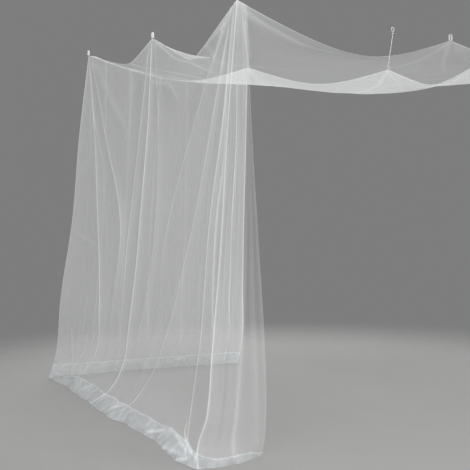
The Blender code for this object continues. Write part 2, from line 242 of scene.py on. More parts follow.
def lineDistance(x, y, points):
    # Distance from many places to a given line, and how far along it each one lies, from 0 to 1
    leastSteps, stepsEach = 12, 6
    points = np.asarray(points, float)
    count = max(leastSteps, stepsEach * (len(points) - 1))
    stations = np.linspace(0.0, 1.0, len(points))
    fine = np.linspace(0.0, 1.0, count)
    px, py = throughPoints(stations, points[:, 0], fine), throughPoints(stations, points[:, 1], fine)
    best = np.full(x.shape, np.inf)
    share = np.zeros(x.shape)
    for k in range(count - 1):
        dx, dy = px[k + 1] - px[k], py[k + 1] - py[k]
        u = np.clip(((x - px[k]) * dx + (y - py[k]) * dy) / (dx * dx + dy * dy + 1e-12), 0.0, 1.0)
        d = np.hypot(x - px[k] - u * dx, y - py[k] - u * dy)
        closer = d < best
        best = np.where(closer, d, best)
        share = np.where(closer, (k + u) / (count - 1), share)
    return best, share


def dipCurve(u, roundness):
    return (np.hypot(u, roundness) - roundness) / (np.hypot(1.0, roundness) - roundness)


def edgeHeight(edge, place):
    # Height of the roof's edge: it sags in a curve from each hanging point to the dip beside it
    place = np.asarray(place, float)
    height = np.zeros(place.shape)
    for i in range(len(edge) - 1):
        dip, hung = (edge[i + 1], edge[i]) if edge[i + 1].roundness else (edge[i], edge[i + 1])
        u = np.abs(place - dip.place) / abs(hung.place - dip.place)
        sag = dip.height + (hung.height - dip.height) * dipCurve(u, dip.roundness)
        height = np.where((place >= edge[i].place) | (i == 0), sag, height)
    return height


# The canopy's own sizes, as in its solids
roofWidth, roofLength = 2.66, 2.70
seamGap = 0.0003
tape = {"width": 0.014, "thickness": 0.0016, "height": 0.036, "span": 0.018}
EdgePoint = namedtuple("EdgePoint", "place height roundness")
HangingPoint = namedtuple("HangingPoint", "name x y height turn")


def rowsOf(kind, *rows):
    return [kind(*row) for row in rows]


# Each edge of the roof: place along it, height above the floor, roundness of a dip (0 where it hangs)
leftEdge = rowsOf(
    EdgePoint,
    (0.0, 2.45, 0.0), (0.63, 2.205, 0.1), (1.29, 2.405, 0.0), (1.76, 2.292, 0.2), (2.7, 2.445, 0.0),
)
farEdge = rowsOf(
    EdgePoint,
    (0.0, 2.445, 0.0), (0.8, 2.286, 0.5), (1.33, 2.411, 0.0), (1.95, 2.303, 0.5), (2.66, 2.452, 0.0),
)
rightEdge = rowsOf(
    EdgePoint,
    (0.0, 2.45, 0.0), (0.66, 2.235, 0.3), (1.35, 2.405, 0.0), (2.02, 2.27, 0.3), (2.7, 2.452, 0.0),
)
nearEdge = rowsOf(
    EdgePoint,
    (0.0, 2.45, 0.0), (0.84, 2.193, 0.5), (1.36, 2.31, 0.0), (1.86, 2.21, 0.5), (2.66, 2.45, 0.0),
)
# Each hanging point: where it is, its height above the floor and how its loop is turned, in degrees
hangingPoints = rowsOf(
    HangingPoint,
    ("near_left", 0.0, 0.0, 2.450, 0.0),
    ("left_middle", 0.0, 1.29, 2.405, 90.0),
    ("far_left", 0.0, 2.70, 2.445, 90.0),
    ("far_middle", 1.33, 2.70, 2.411, 0.0),
    ("far_right", 2.66, 2.70, 2.452, 0.0),
    ("right_middle", 2.66, 1.35, 2.405, 90.0),
    ("near_right", 2.66, 0.0, 2.450, 90.0),
    ("near_middle", 1.36, 0.0, 2.310, 0.0),
)


# Finishes
netLook = {
    "sheerAlpha": 0.22,            # how solid a single flat layer is
    "denseAlpha": 0.93,            # and where the cloth is bunched
    "thinnestShade": -0.25,        # stretched cloth is thinner than a flat layer
    "netColour": (0.86, 0.875, 0.87),
    # the hem band's colour is the net's white with painted shade: a little darker and bluer
    "hemShadedColour": (0.83, 0.87, 0.90),
    "weavePitch": 0.0026,
    "weaveUneven": 0.35,
    # a thread ends and a hole begins at these shares of the pitch
    "threadRange": {"From Min": 0.10, "From Max": 0.28, "To Min": 0.5, "To Max": -0.5},
    "weaveShare": 0.08,            # how much the weave's holes and threads differ
    "gatherScale": (62.0, 0.9, 1.0),   # the finest gathers, across the cloth and down it
    "gatherNoise": {"Scale": 1.0, "Detail": 2.5, "Roughness": 0.6},
    "gatherRange": {"From Min": 0.42, "From Max": 0.78},
    "gatherShare": 0.03,           # how much they thicken the net
    "gatherBump": 2.0,
    "bump": {"Strength": 0.35, "Distance": 0.0012},
    "surface": {
        "Roughness": 0.78, "Specular IOR Level": 0.25, "Sheen Weight": 0.15, "Sheen Roughness": 0.5,
    },
}
# Fine ribs across the tape
tapeLook = {
    "name": "wovenTape",
    "texture": "ShaderNodeTexWave",
    "pattern": {"Scale": 160.0, "Distortion": 0.8, "Detail": 1.0},
    "dark": (0.50, 0.50, 0.48),
    "light": (0.70, 0.70, 0.67),
    "bump": {"Strength": 0.5, "Distance": 0.0006},
    "surface": {"Roughness": 0.75, "Sheen Weight": 0.2},
}
# Twisted yarn: a soft mottle of fine fibres
cordLook = {
    "name": "twistedCord",
    "texture": "ShaderNodeTexNoise",
    "pattern": {"Scale": 900.0, "Detail": 3.0},
    "dark": (0.66, 0.66, 0.62),
    "light": (0.86, 0.86, 0.82),
    "bump": {"Strength": 0.4, "Distance": 0.0004},
    "surface": {"Roughness": 0.85},
}
stitchLook = dict(
    cordLook, name="stitchThread", dark=(0.74, 0.76, 0.77), light=(0.90, 0.91, 0.92),
    pattern={"Scale": 1500.0, "Detail": 3.0}, surface={"Roughness": 0.6},
)


def makeNetMaterial():
    s = netLook
    material, nodes, links, shader = newMaterial("sheerNet")
    uv, woven = nodes.new("ShaderNodeUVMap"), nodes.new("ShaderNodeUVMap")
    uv.uv_map, woven.uv_map = "cloth", "weave"
    shade, hem = nodes.new("ShaderNodeAttribute"), nodes.new("ShaderNodeAttribute")
    shade.attribute_name, hem.attribute_name = "shade", "hem"

    # Hexagon-like holes of the net, a little uneven
    weave = nodes.new("ShaderNodeTexVoronoi")
    weave.voronoi_dimensions = "2D"
    weave.feature = "DISTANCE_TO_EDGE"
    setInputs(weave, {"Scale": 1.0 / s["weavePitch"], "Randomness": s["weaveUneven"]})
    links.new(woven.outputs["UV"], weave.inputs["Vector"])
    thread = setInputs(nodes.new("ShaderNodeMapRange"), s["threadRange"])
    links.new(weave.outputs["Distance"], thread.inputs["Value"])

    # Fine gathers that run down the cloth with its folds
    stretch = setInputs(nodes.new("ShaderNodeMapping"), {"Scale": s["gatherScale"]})
    links.new(uv.outputs["UV"], stretch.inputs["Vector"])
    gather = nodes.new("ShaderNodeTexNoise")
    gather.noise_dimensions = "2D"
    setInputs(gather, s["gatherNoise"])
    links.new(stretch.outputs["Vector"], gather.inputs["Vector"])
    streak = setInputs(nodes.new("ShaderNodeMapRange"), s["gatherRange"])
    links.new(gather.outputs["Fac"], streak.inputs["Value"])

    # The net is denser where it is bunched
    solid = mathNode(nodes, links, "MULTIPLY", streak.outputs["Result"], s["gatherShare"])
    solid = mathNode(nodes, links, "ADD", shade.outputs["Fac"], solid)
    solid = mathNode(nodes, links, "MINIMUM", solid, 1.0)
    alpha = mathNode(nodes, links, "MULTIPLY", solid, s["denseAlpha"] - s["sheerAlpha"])
    alpha = mathNode(nodes, links, "ADD", alpha, s["sheerAlpha"])
    threads = mathNode(nodes, links, "MULTIPLY", thread.outputs["Result"], s["weaveShare"])
    alpha = mathNode(nodes, links, "ADD", alpha, threads, clamp=True)
    links.new(alpha, shader.inputs["Alpha"])

    # the hem band takes the colour with painted shade
    mixColours(nodes, links, shader, hem.outputs["Fac"], s["netColour"], s["hemShadedColour"])
    setInputs(shader, s["surface"])
    heights = mathNode(nodes, links, "MULTIPLY", gather.outputs["Fac"], s["gatherBump"])
    heights = mathNode(nodes, links, "ADD", heights, thread.outputs["Result"])
    addBump(nodes, links, shader, heights, s["bump"])
    return material


def makeYarnMaterial(s):
    material, nodes, links, shader = newMaterial(s["name"])
    coordinates = nodes.new("ShaderNodeTexCoord")
    fibres = setInputs(nodes.new(s["texture"]), s["pattern"])
    if s["texture"] == "ShaderNodeTexWave":
        fibres.bands_direction = "Z"
    links.new(coordinates.outputs["Object"], fibres.inputs["Vector"])
    mixColours(nodes, links, shader, fibres.outputs["Fac"], s["dark"], s["light"])
    setInputs(shader, s["surface"])
    addBump(nodes, links, shader, fibres.outputs["Fac"], s["bump"])
    return material


netMaterial = makeNetMaterial()
tapeMaterial, cordMaterial, stitchMaterial = map(makeYarnMaterial, (tapeLook, cordLook, stitchLook))
report("materials")


# What the pieces share
Crease = namedtuple("Crease", "points height width shade")


def addPiece(name, mesh, material):
    mesh.materials.clear()
    mesh.materials.append(material)
    piece = bpy.data.objects.new(name, mesh)
    bpy.context.collection.objects.link(piece)
    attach(piece, "root")
    return piece


def clothPiece(name, points, cloth, weave, shade, hem, node, outward):
    # A single sheet from a grid of points. Its cloth coordinates run with the folds, its weave
    # coordinates stay in metres wherever the cloth spreads out
    rows, columns = points.shape[:2]
    index = np.arange(rows * columns).reshape(rows, columns)
    quads = np.stack([index[:-1, :-1], index[:-1, 1:], index[1:, 1:], index[1:, :-1]], -1).reshape(-1, 4)
    if (crossed(points) * np.asarray(outward)).sum() < 0.0:
        quads = quads[:, ::-1]
    corners = quads.reshape(-1)
    mesh = bpy.data.meshes.new(name)
    mesh.vertices.add(rows * columns)
    mesh.vertices.foreach_set("co", points.reshape(-1).astype(np.float32))
    mesh.loops.add(quads.size)
    mesh.loops.foreach_set("vertex_index", corners)
    mesh.polygons.add(len(quads))
    mesh.polygons.foreach_set("loop_start", np.arange(0, quads.size, 4))
    mesh.update(calc_edges=True)
    for label, (u, v) in (("cloth", cloth), ("weave", weave)):
        flatUv = np.stack([u, v], -1).reshape(-1, 2)
        layer = mesh.uv_layers.new(name=label)
        layer.data.foreach_set("uv", flatUv[corners].reshape(-1).astype(np.float32))
    for label, values, least in (("shade", shade, netLook["thinnestShade"]), ("hem", hem, 0.0)):
        attribute = mesh.attributes.new(label, "FLOAT", "POINT")
        attribute.data.foreach_set("value", np.clip(values, least, 1.0).reshape(-1).astype(np.float32))
    mesh.shade_smooth()
    piece = addPiece(name, mesh, netMaterial)
    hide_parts(node)


def crossed(points):
    return np.cross(np.gradient(points, axis=1), np.gradient(points, axis=0))


def gridNormals(points):
    normals = crossed(points)
    return normals / np.maximum(np.linalg.norm(normals, axis=-1, keepdims=True), 1e-12)


def bunching(smooth, rough):
    # How much thicker a pleat's steep sides look than the flat cloth they rise from
    steepest = 0.35
    cosine = (gridNormals(smooth) * gridNormals(rough)).sum(-1)
    return 1.0 / np.clip(np.abs(cosine), steepest, 1.0) - 1.0


def creased(x, y, creases, spread, fadeIn, fadeOut):
    # How far the given creases stand out of a cloth, and how much they thicken it
    push, shade = np.zeros(x.shape), np.zeros(x.shape)
    for crease in creases:
        distance, share = lineDistance(x, y, crease.points)
        fades = 1.0 - smoothStep(fadeOut, 1.0, share)
        if fadeIn:
            fades = fades * smoothStep(0.0, fadeIn, share)
        push += crease.height * bell(distance, spread * crease.width) * fades
        shade += crease.shade * bell(distance, crease.width) * fades
    return push, shade


# Roof panel
roofSettings = {
    "level": 2.240,
    "bellyDepth": 0.090,
    "bellyShift": 2.2,
    "bellyFullness": 0.8,
    "edgeReach": 0.26,
    "cellsNear": (84, 52, 50, 80),     # cells from each hanging point or dip to the next
    "cellsLeft": (64, 66, 48, 92),
    "edgeHold": 0.05,                  # how far from its edges the cloth stays without ripples
    "waveHeight": 0.005,
    "waves": ((11, 3.1, 1.0), (12, 9.0, 0.4)),     # seed, waves to a metre, share of the height
    "gatherHeight": 0.0045,
    "gatherReach": 0.25,
    "gatherStart": 0.10,
    # pleats at a hanging point: seed, how many to a radian and to a metre, height and shade
    "pleats": ((30, 7.0, 1.5, 1.0, 0.20), (50, 19.0, 2.5, 0.5, 0.16)),
    "creaseSpread": 1.6,
    "creaseFade": 0.55,                # where a crease starts to fade, as a share of its length
    "bunchShare": 0.5,
    "seamShade": 0.5,
    "seamWidth": 0.007,
    "bellyShade": 0.38,
    "rimShade": 0.266,
    "rimWidth": (0.1, 0.5),
    "farShade": 0.04,                  # the net is denser along the far strip, so that strip shows lighter
    "farStrip": (0.75, 0.30),
    "dipThinness": 0.30,               # by the left edge's near dip the net is made thinner, so it shows darker there
    "dipWidth": 0.12,
    "dipStart": (0.20, 0.40),
    "dipEnd": (1.00, 1.25),
    "dipSeamLoss": 0.6,
    "flat": (3.0, 3.0),
}
# Creases over the roof: the X and Y of each line, how high it stands, its width and how bunched it is
roofCreases = rowsOf(
    Crease,
    (((0.0, 1.76), (0.1, 1.815), (0.28, 1.84), (0.47, 1.92), (0.72, 2.1), (1.1, 2.45)), 0.006, 0.018, 0.5),
    (((0.02, 1.3), (0.1, 1.34), (0.22, 1.42), (0.36, 1.45), (0.61, 1.65), (1.0, 2.0)), 0.006, 0.014, 0.5),
    (((0.03, 0.02), (0.13, 0.06), (0.3, 0.095), (0.46, 0.13), (0.64, 0.135), (1.1, 0.14)),
     0.005, 0.022, 0.34),
    (((0.02, 0.02), (0.2, 0.3), (0.42, 0.75), (0.6, 1.3)), 0.004, 0.014, 0.16),
    (((0.02, 1.29), (0.3, 1.22), (0.7, 1.05), (1.2, 0.8)), 0.004, 0.014, 0.18),
    (((0.05, 2.0), (0.18, 2.18), (0.3, 2.2), (0.43, 2.12), (0.59, 2.08), (0.9, 2.2)), 0.0, 0.16, 0.13),
    (((0.25, 1.34), (0.32, 1.39), (0.4, 1.45), (0.49, 1.52), (0.58, 1.58), (0.9, 1.7)), 0.0, 0.03, 0.16),
    (((0.02, 2.68), (0.3, 2.45), (0.7, 2.25), (1.2, 2.05)), 0.005, 0.013, 0.2),
    (((0.02, 2.69), (0.2, 2.35), (0.4, 2.0)), 0.004, 0.012, 0.18),
    (((1.33, 2.68), (1.3, 2.4), (1.22, 2.05), (1.1, 1.6)), 0.005, 0.013, 0.22),
    (((1.33, 2.68), (1.45, 2.35), (1.65, 1.95)), 0.004, 0.012, 0.18),
    (((2.64, 2.68), (2.35, 2.42), (1.95, 2.1), (1.55, 1.8)), 0.006, 0.014, 0.25),
    (((2.64, 2.68), (2.52, 2.3), (2.3, 1.9)), 0.004, 0.012, 0.18),
    (((2.64, 1.35), (2.25, 1.38), (1.8, 1.3)), 0.005, 0.013, 0.2),
    (((2.64, 0.02), (2.3, 0.32), (1.9, 0.62), (1.5, 0.95)), 0.006, 0.014, 0.24),
    (((1.36, 0.02), (1.34, 0.35), (1.25, 0.8)), 0.005, 0.013, 0.2),
    (((1.36, 0.02), (1.52, 0.3), (1.78, 0.62)), 0.004, 0.012, 0.16),
)


def bellyHeight(x, y):
    s = roofSettings
    shareX = np.clip(x / roofWidth, 0.0, 1.0) ** s["bellyShift"]
    shareY = np.clip(y / roofLength, 0.0, 1.0)
    bowl = 16.0 * shareX * (1.0 - shareX) * shareY * (1.0 - shareY)
    return s["level"] - s["bellyDepth"] * np.maximum(bowl, 0.0) ** s["bellyFullness"]


def roofHeight(x, y):
    # The belly, lifted near each edge to that edge's own line of tips and dips
    reach = roofSettings["edgeReach"]
    height = bellyHeight(x, y)
    sidesX = (
        (np.exp(-x / reach), 0.0, edgeHeight(leftEdge, y)),
        (np.exp(-(roofWidth - x) / reach), roofWidth, edgeHeight(rightEdge, y)),
    )
    sidesY = (
        (np.exp(-y / reach), 0.0, edgeHeight(nearEdge, x)),
        (np.exp(-(roofLength - y) / reach), roofLength, edgeHeight(farEdge, x)),
    )
    for weight, side, line in sidesX:
        height = height + weight * (line - bellyHeight(np.float64(side), y))
    for weight, side, line in sidesY:
        height = height + weight * (line - bellyHeight(x, np.float64(side)))
    for weightX, sideX, _ in sidesX:
        for weightY, sideY, _ in sidesY:
            row = nearEdge if sideY == 0.0 else farEdge
            tip = row[0].height if sideX == 0.0 else row[-1].height
            height = height - weightX * weightY * (tip - bellyHeight(np.float64(sideX), np.float64(sideY)))
    return height


def edgeStations(edge, cells):
    stations = [edge[0].place]
    for i, count in enumerate(cells):
        start, end = edge[i].place, edge[i + 1].place
        stations += [start + (end - start) * (k + 1) / count for k in range(count)]
    return np.array(stations)


def roofPleats(x, y):
    # Small pleats that fan out of each hanging point
    s = roofSettings
    lift, shade = np.zeros(x.shape), np.zeros(x.shape)
    for k, tip in enumerate(hangingPoints):
        toCentre = math.atan2(0.5 * roofLength - tip.y, 0.5 * roofWidth - tip.x)
        radius = np.hypot(x - tip.x, y - tip.y)
        angle = np.angle(np.exp(1j * (np.arctan2(y - tip.y, x - tip.x) - toCentre)))
        pull = np.exp(-radius / s["gatherReach"]) * smoothStep(0.0, s["gatherStart"], radius)
        for seed, eachTurn, eachMetre, height, thickening in s["pleats"]:
            pleats = softNoise(angle * eachTurn, radius * eachMetre, seed + k)
            lift += s["gatherHeight"] * height * pleats * pull
            shade += thickening * np.maximum(pleats, 0.0) ** 2 * pull
    return lift, shade


def makeRoof():
    s = roofSettings
    nearX, farX = edgeStations(nearEdge, s["cellsNear"]), edgeStations(farEdge, s["cellsNear"])
    leftY, rightY = edgeStations(leftEdge, s["cellsLeft"]), edgeStations(rightEdge, s["cellsLeft"])
    shareX = np.linspace(0.0, 1.0, len(nearX))[None, :]
    shareY = np.linspace(0.0, 1.0, len(leftY))[:, None]
    x = nearX[None, :] + (farX - nearX)[None, :] * shareY
    y = leftY[:, None] + (rightY - leftY)[:, None] * shareX
    smooth = np.stack([x, y, roofHeight(x, y) - floorDepth], -1)
    toEdge = np.minimum(np.minimum(x, roofWidth - x), np.minimum(y, roofLength - y))

    pleatLift, pleatShade = roofPleats(x, y)
    creaseLift, creaseShade = creased(x, y, roofCreases, s["creaseSpread"], None, s["creaseFade"])
    lift = pleatLift + creaseLift
    for seed, eachMetre, share in s["waves"]:
        lift += share * s["waveHeight"] * softNoise(x * eachMetre, y * eachMetre, seed)
    rough = smooth.copy()
    rough[..., 2] += lift * smoothStep(0.0, s["edgeHold"], toEdge)

    farStart, farFull = (roofLength - reach for reach in s["farStrip"])
    dip = bell(x, s["dipWidth"]) * smoothStep(*s["dipStart"], y) * (1.0 - smoothStep(*s["dipEnd"], y))
    shade = s["rimShade"] + (s["bellyShade"] - s["rimShade"]) * smoothStep(*s["rimWidth"], toEdge)
    shade += s["farShade"] * smoothStep(farStart, farFull, y) - s["dipThinness"] * dip
    shade += pleatShade + creaseShade + s["bunchShare"] * bunching(smooth, rough)
    shade += s["seamShade"] * bell(toEdge, s["seamWidth"]) * (1.0 - s["dipSeamLoss"] * dip)
    clothPiece(
        "roofNet", rough, (x, y), (x, y), shade, np.zeros(x.shape), "roof_panel", (0.0, 0.0, 1.0),
    )


makeRoof()
report("roof panel")


# Walls. Each fold is one line from the roof's edge to the floor, read at these shares of the way down:
# its place along the wall, how far it stands outside the roof's edge, the height of its ridge,
# how bunched its crease is, and the crease's width
levels = (0.0, 0.26, 0.51, 0.755, 0.90, 0.965, 1.0)
Fold = namedtuple("Fold", "places outs ridge shades width")
nearCornerLeft = (0.0, 0.058, 0.100, 0.145, 0.190, 0.240, 0.262)
nearCornerFront = (0.0, 0.010, 0.018, 0.000, 0.028, 0.024, 0.090)
farCornerLeft = (0.0, 0.078, 0.132, 0.222, 0.248, 0.274, 0.300)
farCornerBack = (0.0, 0.008, 0.020, 0.040, 0.054, 0.086, 0.110)
leftWallFolds = rowsOf(
    Fold,
    (tuple(-front for front in nearCornerFront), nearCornerLeft, 0.0,
     (0.8, 0.85, 0.85, 0.9, 0.95, 0.95, 0.4), 0.007),
    ((0.03, 0.047, 0.17, 0.228, 0.298, 0.16, -0.03), (0.0, 0.052, 0.08, 0.11, 0.135, 0.216, 0.278), 0.014,
     (0.2, 0.35, 0.5, 0.75, 0.85, 0.6, 0.0), 0.005),
    ((0.05, 0.17, 0.3, 0.44, 0.61, 0.64, 0.72), (0.0, 0.036, 0.07, 0.1, 0.124, 0.208, 0.255), -0.004,
     (0.1, 0.03, 0.03, 0.03, 0.03, 0.0, 0.0), 0.004),
    ((0.07, 0.26, 0.483, 0.763, 1.07, 1.155, 1.33), (0.0, 0.03, 0.06, 0.1, 0.126, 0.228, 0.302), 0.012,
     (0.3, 0.35, 0.3, 0.5, 0.65, 0.55, 0.2), 0.0045),
    ((0.12, 0.555, 0.9, 1.02, 1.23, 1.32, 1.46), (0.0, 0.025, 0.05, 0.09, 0.122, 0.218, 0.3), 0.01,
     (0.3, 0.35, 0.2, 0.05, 0.03, 0.0, 0.0), 0.0045),
    ((0.63, 0.82, 0.99, 1.15, 1.34, 1.42, 1.55), (0.0, 0.025, 0.055, 0.09, 0.122, 0.215, 0.296), -0.004,
     (0.0, 0.0, 0.0, 0.0, 0.0, 0.0, 0.0), 0.004),
    ((1.25, 1.1, 1.08, 1.27, 1.45, 1.51, 1.64), (0.0, 0.03, 0.06, 0.095, 0.122, 0.215, 0.292), 0.008,
     (0.4, 0.3, 0.15, 0.04, 0.0, 0.0, 0.0), 0.0045),
    ((1.29, 1.281, 1.322, 1.446, 1.565, 1.6, 1.74), (0.0, 0.032, 0.065, 0.1, 0.127, 0.225, 0.299), 0.016,
     (0.8, 0.75, 0.75, 0.8, 0.8, 0.7, 0.4), 0.005),
    ((1.33, 1.455, 1.58, 1.64, 1.73, 1.81, 1.95), (0.0, 0.03, 0.06, 0.095, 0.122, 0.217, 0.291), 0.008,
     (0.6, 0.55, 0.5, 0.3, 0.1, 0.0, 0.0), 0.0045),
    ((1.76, 1.74, 1.67, 1.76, 1.84, 1.94, 2.09), (0.0, 0.025, 0.055, 0.09, 0.122, 0.218, 0.292), -0.004,
     (0.0, 0.0, 0.0, 0.0, 0.0, 0.0, 0.0), 0.004),
    ((2.6, 2.143, 1.76, 1.87, 1.95, 2.08, 2.24), (0.0, 0.028, 0.06, 0.095, 0.127, 0.223, 0.29), 0.012,
     (0.8, 0.75, 0.4, 0.1, 0.0, 0.0, 0.0), 0.0055),
    ((2.66, 2.385, 2.155, 2.03, 2.105, 2.25, 2.42), (0.0, 0.036, 0.08, 0.12, 0.148, 0.238, 0.3), 0.016,
     (0.85, 0.8, 0.8, 0.7, 0.5, 0.3, 0.1), 0.005),
    (tuple(roofLength + back for back in farCornerBack), farCornerLeft, 0.0,
     (0.6, 0.35, 0.3, 0.3, 0.3, 0.4, 0.3), 0.006),
)
farWallFolds = rowsOf(
    Fold,
    (tuple(-left for left in farCornerLeft), farCornerBack, 0.0, (0.5, 0.3, 0.3, 0.3, 0.3, 0.4, 0.3), 0.005),
    ((0.14, 0.13, 0.11, 0.06, 0.027, 0.0, -0.02), (0.0, 0.008, 0.015, 0.03, 0.041, 0.085, 0.125), 0.01,
     (0.3, 0.06, 0.06, 0.1, 0.1, 0.12, 0.1), 0.0045),
    ((0.34, 0.32, 0.29, 0.25, 0.24, 0.24, 0.24), (0.0, 0.006, 0.01, 0.02, 0.034, 0.08, 0.135), 0.006,
     (0.2, 0.1, 0.08, 0.08, 0.1, 0.1, 0.0), 0.012),
    ((0.58, 0.54, 0.5, 0.48, 0.478, 0.49, 0.5), (0.0, 0.006, 0.01, 0.02, 0.029, 0.08, 0.14), 0.01,
     (0.15, 0.06, 0.08, 0.1, 0.1, 0.1, 0.1), 0.008),
    ((0.8, 0.8, 0.79, 0.76, 0.75, 0.755, 0.76), (0.0, 0.006, 0.01, 0.02, 0.025, 0.078, 0.14), 0.008,
     (0.1, 0.05, 0.06, 0.08, 0.1, 0.1, 0.1), 0.008),
    ((1.14, 1.13, 1.06, 1.03, 1.022, 1.015, 1.01), (0.0, 0.006, 0.01, 0.02, 0.022, 0.074, 0.13), 0.016,
     (0.3, 0.3, 0.3, 0.3, 0.3, 0.25, 0.2), 0.0045),
    ((1.24, 1.235, 1.2, 1.18, 1.172, 1.165, 1.16), (0.0, 0.006, 0.01, 0.02, 0.021, 0.07, 0.12), 0.022,
     (0.35, 0.3, 0.35, 0.35, 0.35, 0.3, 0.2), 0.0045),
    ((1.325, 1.315, 1.3, 1.293, 1.291, 1.285, 1.28), (0.0, 0.006, 0.01, 0.015, 0.014, 0.058, 0.1), 0.0,
     (0.7, 0.65, 0.65, 0.65, 0.65, 0.65, 0.6), 0.006),
)
nearCurtainFolds = rowsOf(
    Fold,
    (tuple(-left for left in nearCornerLeft), nearCornerFront, 0.0,
     (0.6, 0.65, 0.65, 0.65, 0.65, 0.6, 0.3), 0.005),
    ((0.01, -0.01, -0.03, -0.08, -0.11, -0.14, -0.16), (0.0, 0.01, 0.02, 0.03, 0.036, 0.036, 0.1), 0.016,
     (0.2, 0.04, 0.02, 0.02, 0.02, 0.02, 0.0), 0.0045),
    ((0.035, 0.04, 0.036, 0.01, -0.018, -0.035, -0.045), (0.0, 0.014, 0.03, 0.036, 0.036, 0.036, 0.09), 0.018,
     (0.15, 0.05, 0.05, 0.12, 0.17, 0.17, 0.06), 0.016),
    ((0.047, 0.062, 0.08, 0.1, 0.11, 0.1, 0.08), (0.0, 0.008, 0.015, 0.018, 0.012, 0.004, 0.02), 0.014,
     (0.2, 0.03, 0.02, 0.02, 0.02, 0.02, 0.0), 0.0045),
    ((0.06, 0.085, 0.125, 0.172, 0.185, 0.18, 0.17), (0.0, 0.003, 0.005, -0.01, -0.018, -0.03, -0.04), 0.0,
     (0.2, 0.1, 0.08, 0.08, 0.08, 0.08, 0.06), 0.004),
)
# Creases over the left wall: place along it and height above the floor
leftWallCreases = rowsOf(
    Crease,
    (((2.6, 2.38), (2.405, 2.29), (2.19, 2.13), (1.96, 1.97), (1.8, 1.86), (1.66, 1.73)), 0.005, 0.034, 0.22),
    (((2.62, 2.3), (2.52, 2.05), (2.28, 1.72), (2.05, 1.45)), 0.004, 0.01, 0.1),
    (((0.04, 2.42), (0.094, 2.384), (0.152, 2.338), (0.282, 2.3), (0.388, 2.269), (0.55, 2.22)),
     0.004, 0.01, 0.35),
    (((0.16, 2.32), (0.19, 2.273), (0.226, 2.223), (0.256, 2.183), (0.287, 2.131), (0.32, 2.07)),
     0.003, 0.007, 0.4),
    (((0.085, 2.31), (0.106, 2.252), (0.124, 2.201), (0.14, 2.149), (0.152, 2.107), (0.16, 2.05)),
     0.003, 0.007, 0.4),
    (((0.43, 2.26), (0.396, 2.248), (0.325, 2.212), (0.257, 2.177), (0.21, 2.15)), 0.003, 0.007, 0.32),
    (((1.28, 2.13), (1.21, 2.114), (0.967, 2.081), (0.885, 2.032), (0.813, 1.976), (0.74, 1.85)),
     0.003, 0.018, 0.16),
    (((1.5, 2.21), (1.507, 2.167), (1.523, 2.09), (1.53, 2.0), (1.556, 1.95), (1.6, 1.82)),
     0.0, 0.045, -0.14),
    (((1.12, 2.09), (1.103, 2.075), (1.021, 2.029), (0.928, 1.975), (0.86, 1.9)), 0.0, 0.05, -0.12),
    (((0.49, 2.07), (0.507, 2.012), (0.547, 1.954), (0.614, 1.9), (0.68, 1.84)), 0.0, 0.05, -0.1),
    (((1.6, 2.26), (1.638, 2.183), (1.662, 2.1), (1.685, 2.0), (1.7, 1.88)), 0.003, 0.02, 0.12),
    (((2.27, 0.7), (2.291, 0.603), (2.308, 0.47), (2.36, 0.353), (2.36, 0.195)), 0.003, 0.007, 0.35),
    (((2.66, 1.13), (2.632, 1.118), (2.449, 1.072), (2.207, 1.041), (2.1, 1.03)), 0.003, 0.01, 0.2),
    (((0.3, 0.16), (0.24, 0.105), (0.11, 0.075), (0.0, 0.056), (-0.04, 0.05)), 0.003, 0.006, 0.75),
    (((1.36, 2.3), (1.52, 2.16), (1.68, 2.08)), 0.003, 0.014, 0.14),
    (((2.62, 2.2), (2.5, 1.8), (2.46, 1.3), (2.52, 0.8)), 0.003, 0.014, 0.08),
    (((0.62, 0.95), (0.8, 0.7), (1.02, 0.48), (1.2, 0.3)), 0.003, 0.012, 0.1),
    (((2.52, 0.42), (2.48, 0.25), (2.43, 0.17), (2.38, 0.1), (2.36, 0.05)), 0.004, 0.009, 0.35),
    (((2.25, 0.4), (2.28, 0.27), (2.33, 0.2), (2.38, 0.12), (2.4, 0.06)), 0.004, 0.009, 0.4),
    (((2.82, 0.22), (2.75, 0.15), (2.6, 0.12), (2.5, 0.08)), 0.004, 0.009, 0.4),
    (((2.44, 0.02), (2.36, 0.05), (2.3, 0.01)), 0.004, 0.008, 0.35),
    (((2.1, 0.02), (2.05, 0.045), (1.93, 0.085)), 0.004, 0.009, 0.45),
    (((1.885, 0.008), (1.87, 0.05), (1.79, 0.092)), 0.004, 0.008, 0.4),
    (((1.72, 0.012), (1.665, 0.05), (1.59, 0.09)), 0.004, 0.009, 0.45),
    (((1.39, 0.008), (1.34, 0.048), (1.18, 0.092)), 0.005, 0.01, 0.5),
    (((1.13, 0.012), (1.115, 0.06), (0.96, 0.1)), 0.004, 0.009, 0.3),
    (((0.82, 0.022), (0.73, 0.09)), 0.004, 0.009, 0.3),
    (((0.74, 0.018), (0.6, 0.052), (0.46, 0.09)), 0.005, 0.01, 0.6),
    (((0.58, 0.015), (0.47, 0.083)), 0.004, 0.009, 0.4),
    (((0.49, 0.088), (0.3, 0.078), (0.12, 0.058), (0.0, 0.05)), 0.004, 0.009, 0.4),
    (((0.43, 0.006), (0.22, 0.024), (0.03, 0.042)), 0.004, 0.01, 0.4),
    (((0.14, 0.003), (0.06, 0.022), (0.0, 0.044)), 0.004, 0.009, 0.45),
)
nearCurtainCreases = rowsOf(
    Crease,
    (((-0.22, 0.06), (-0.19, 0.1), (-0.16, 0.16)), 0.001, 0.006, 0.06),
    (((0.13, 0.05), (0.12, 0.25), (0.11, 0.55), (0.1, 0.8)), 0.003, 0.01, 0.08),
)
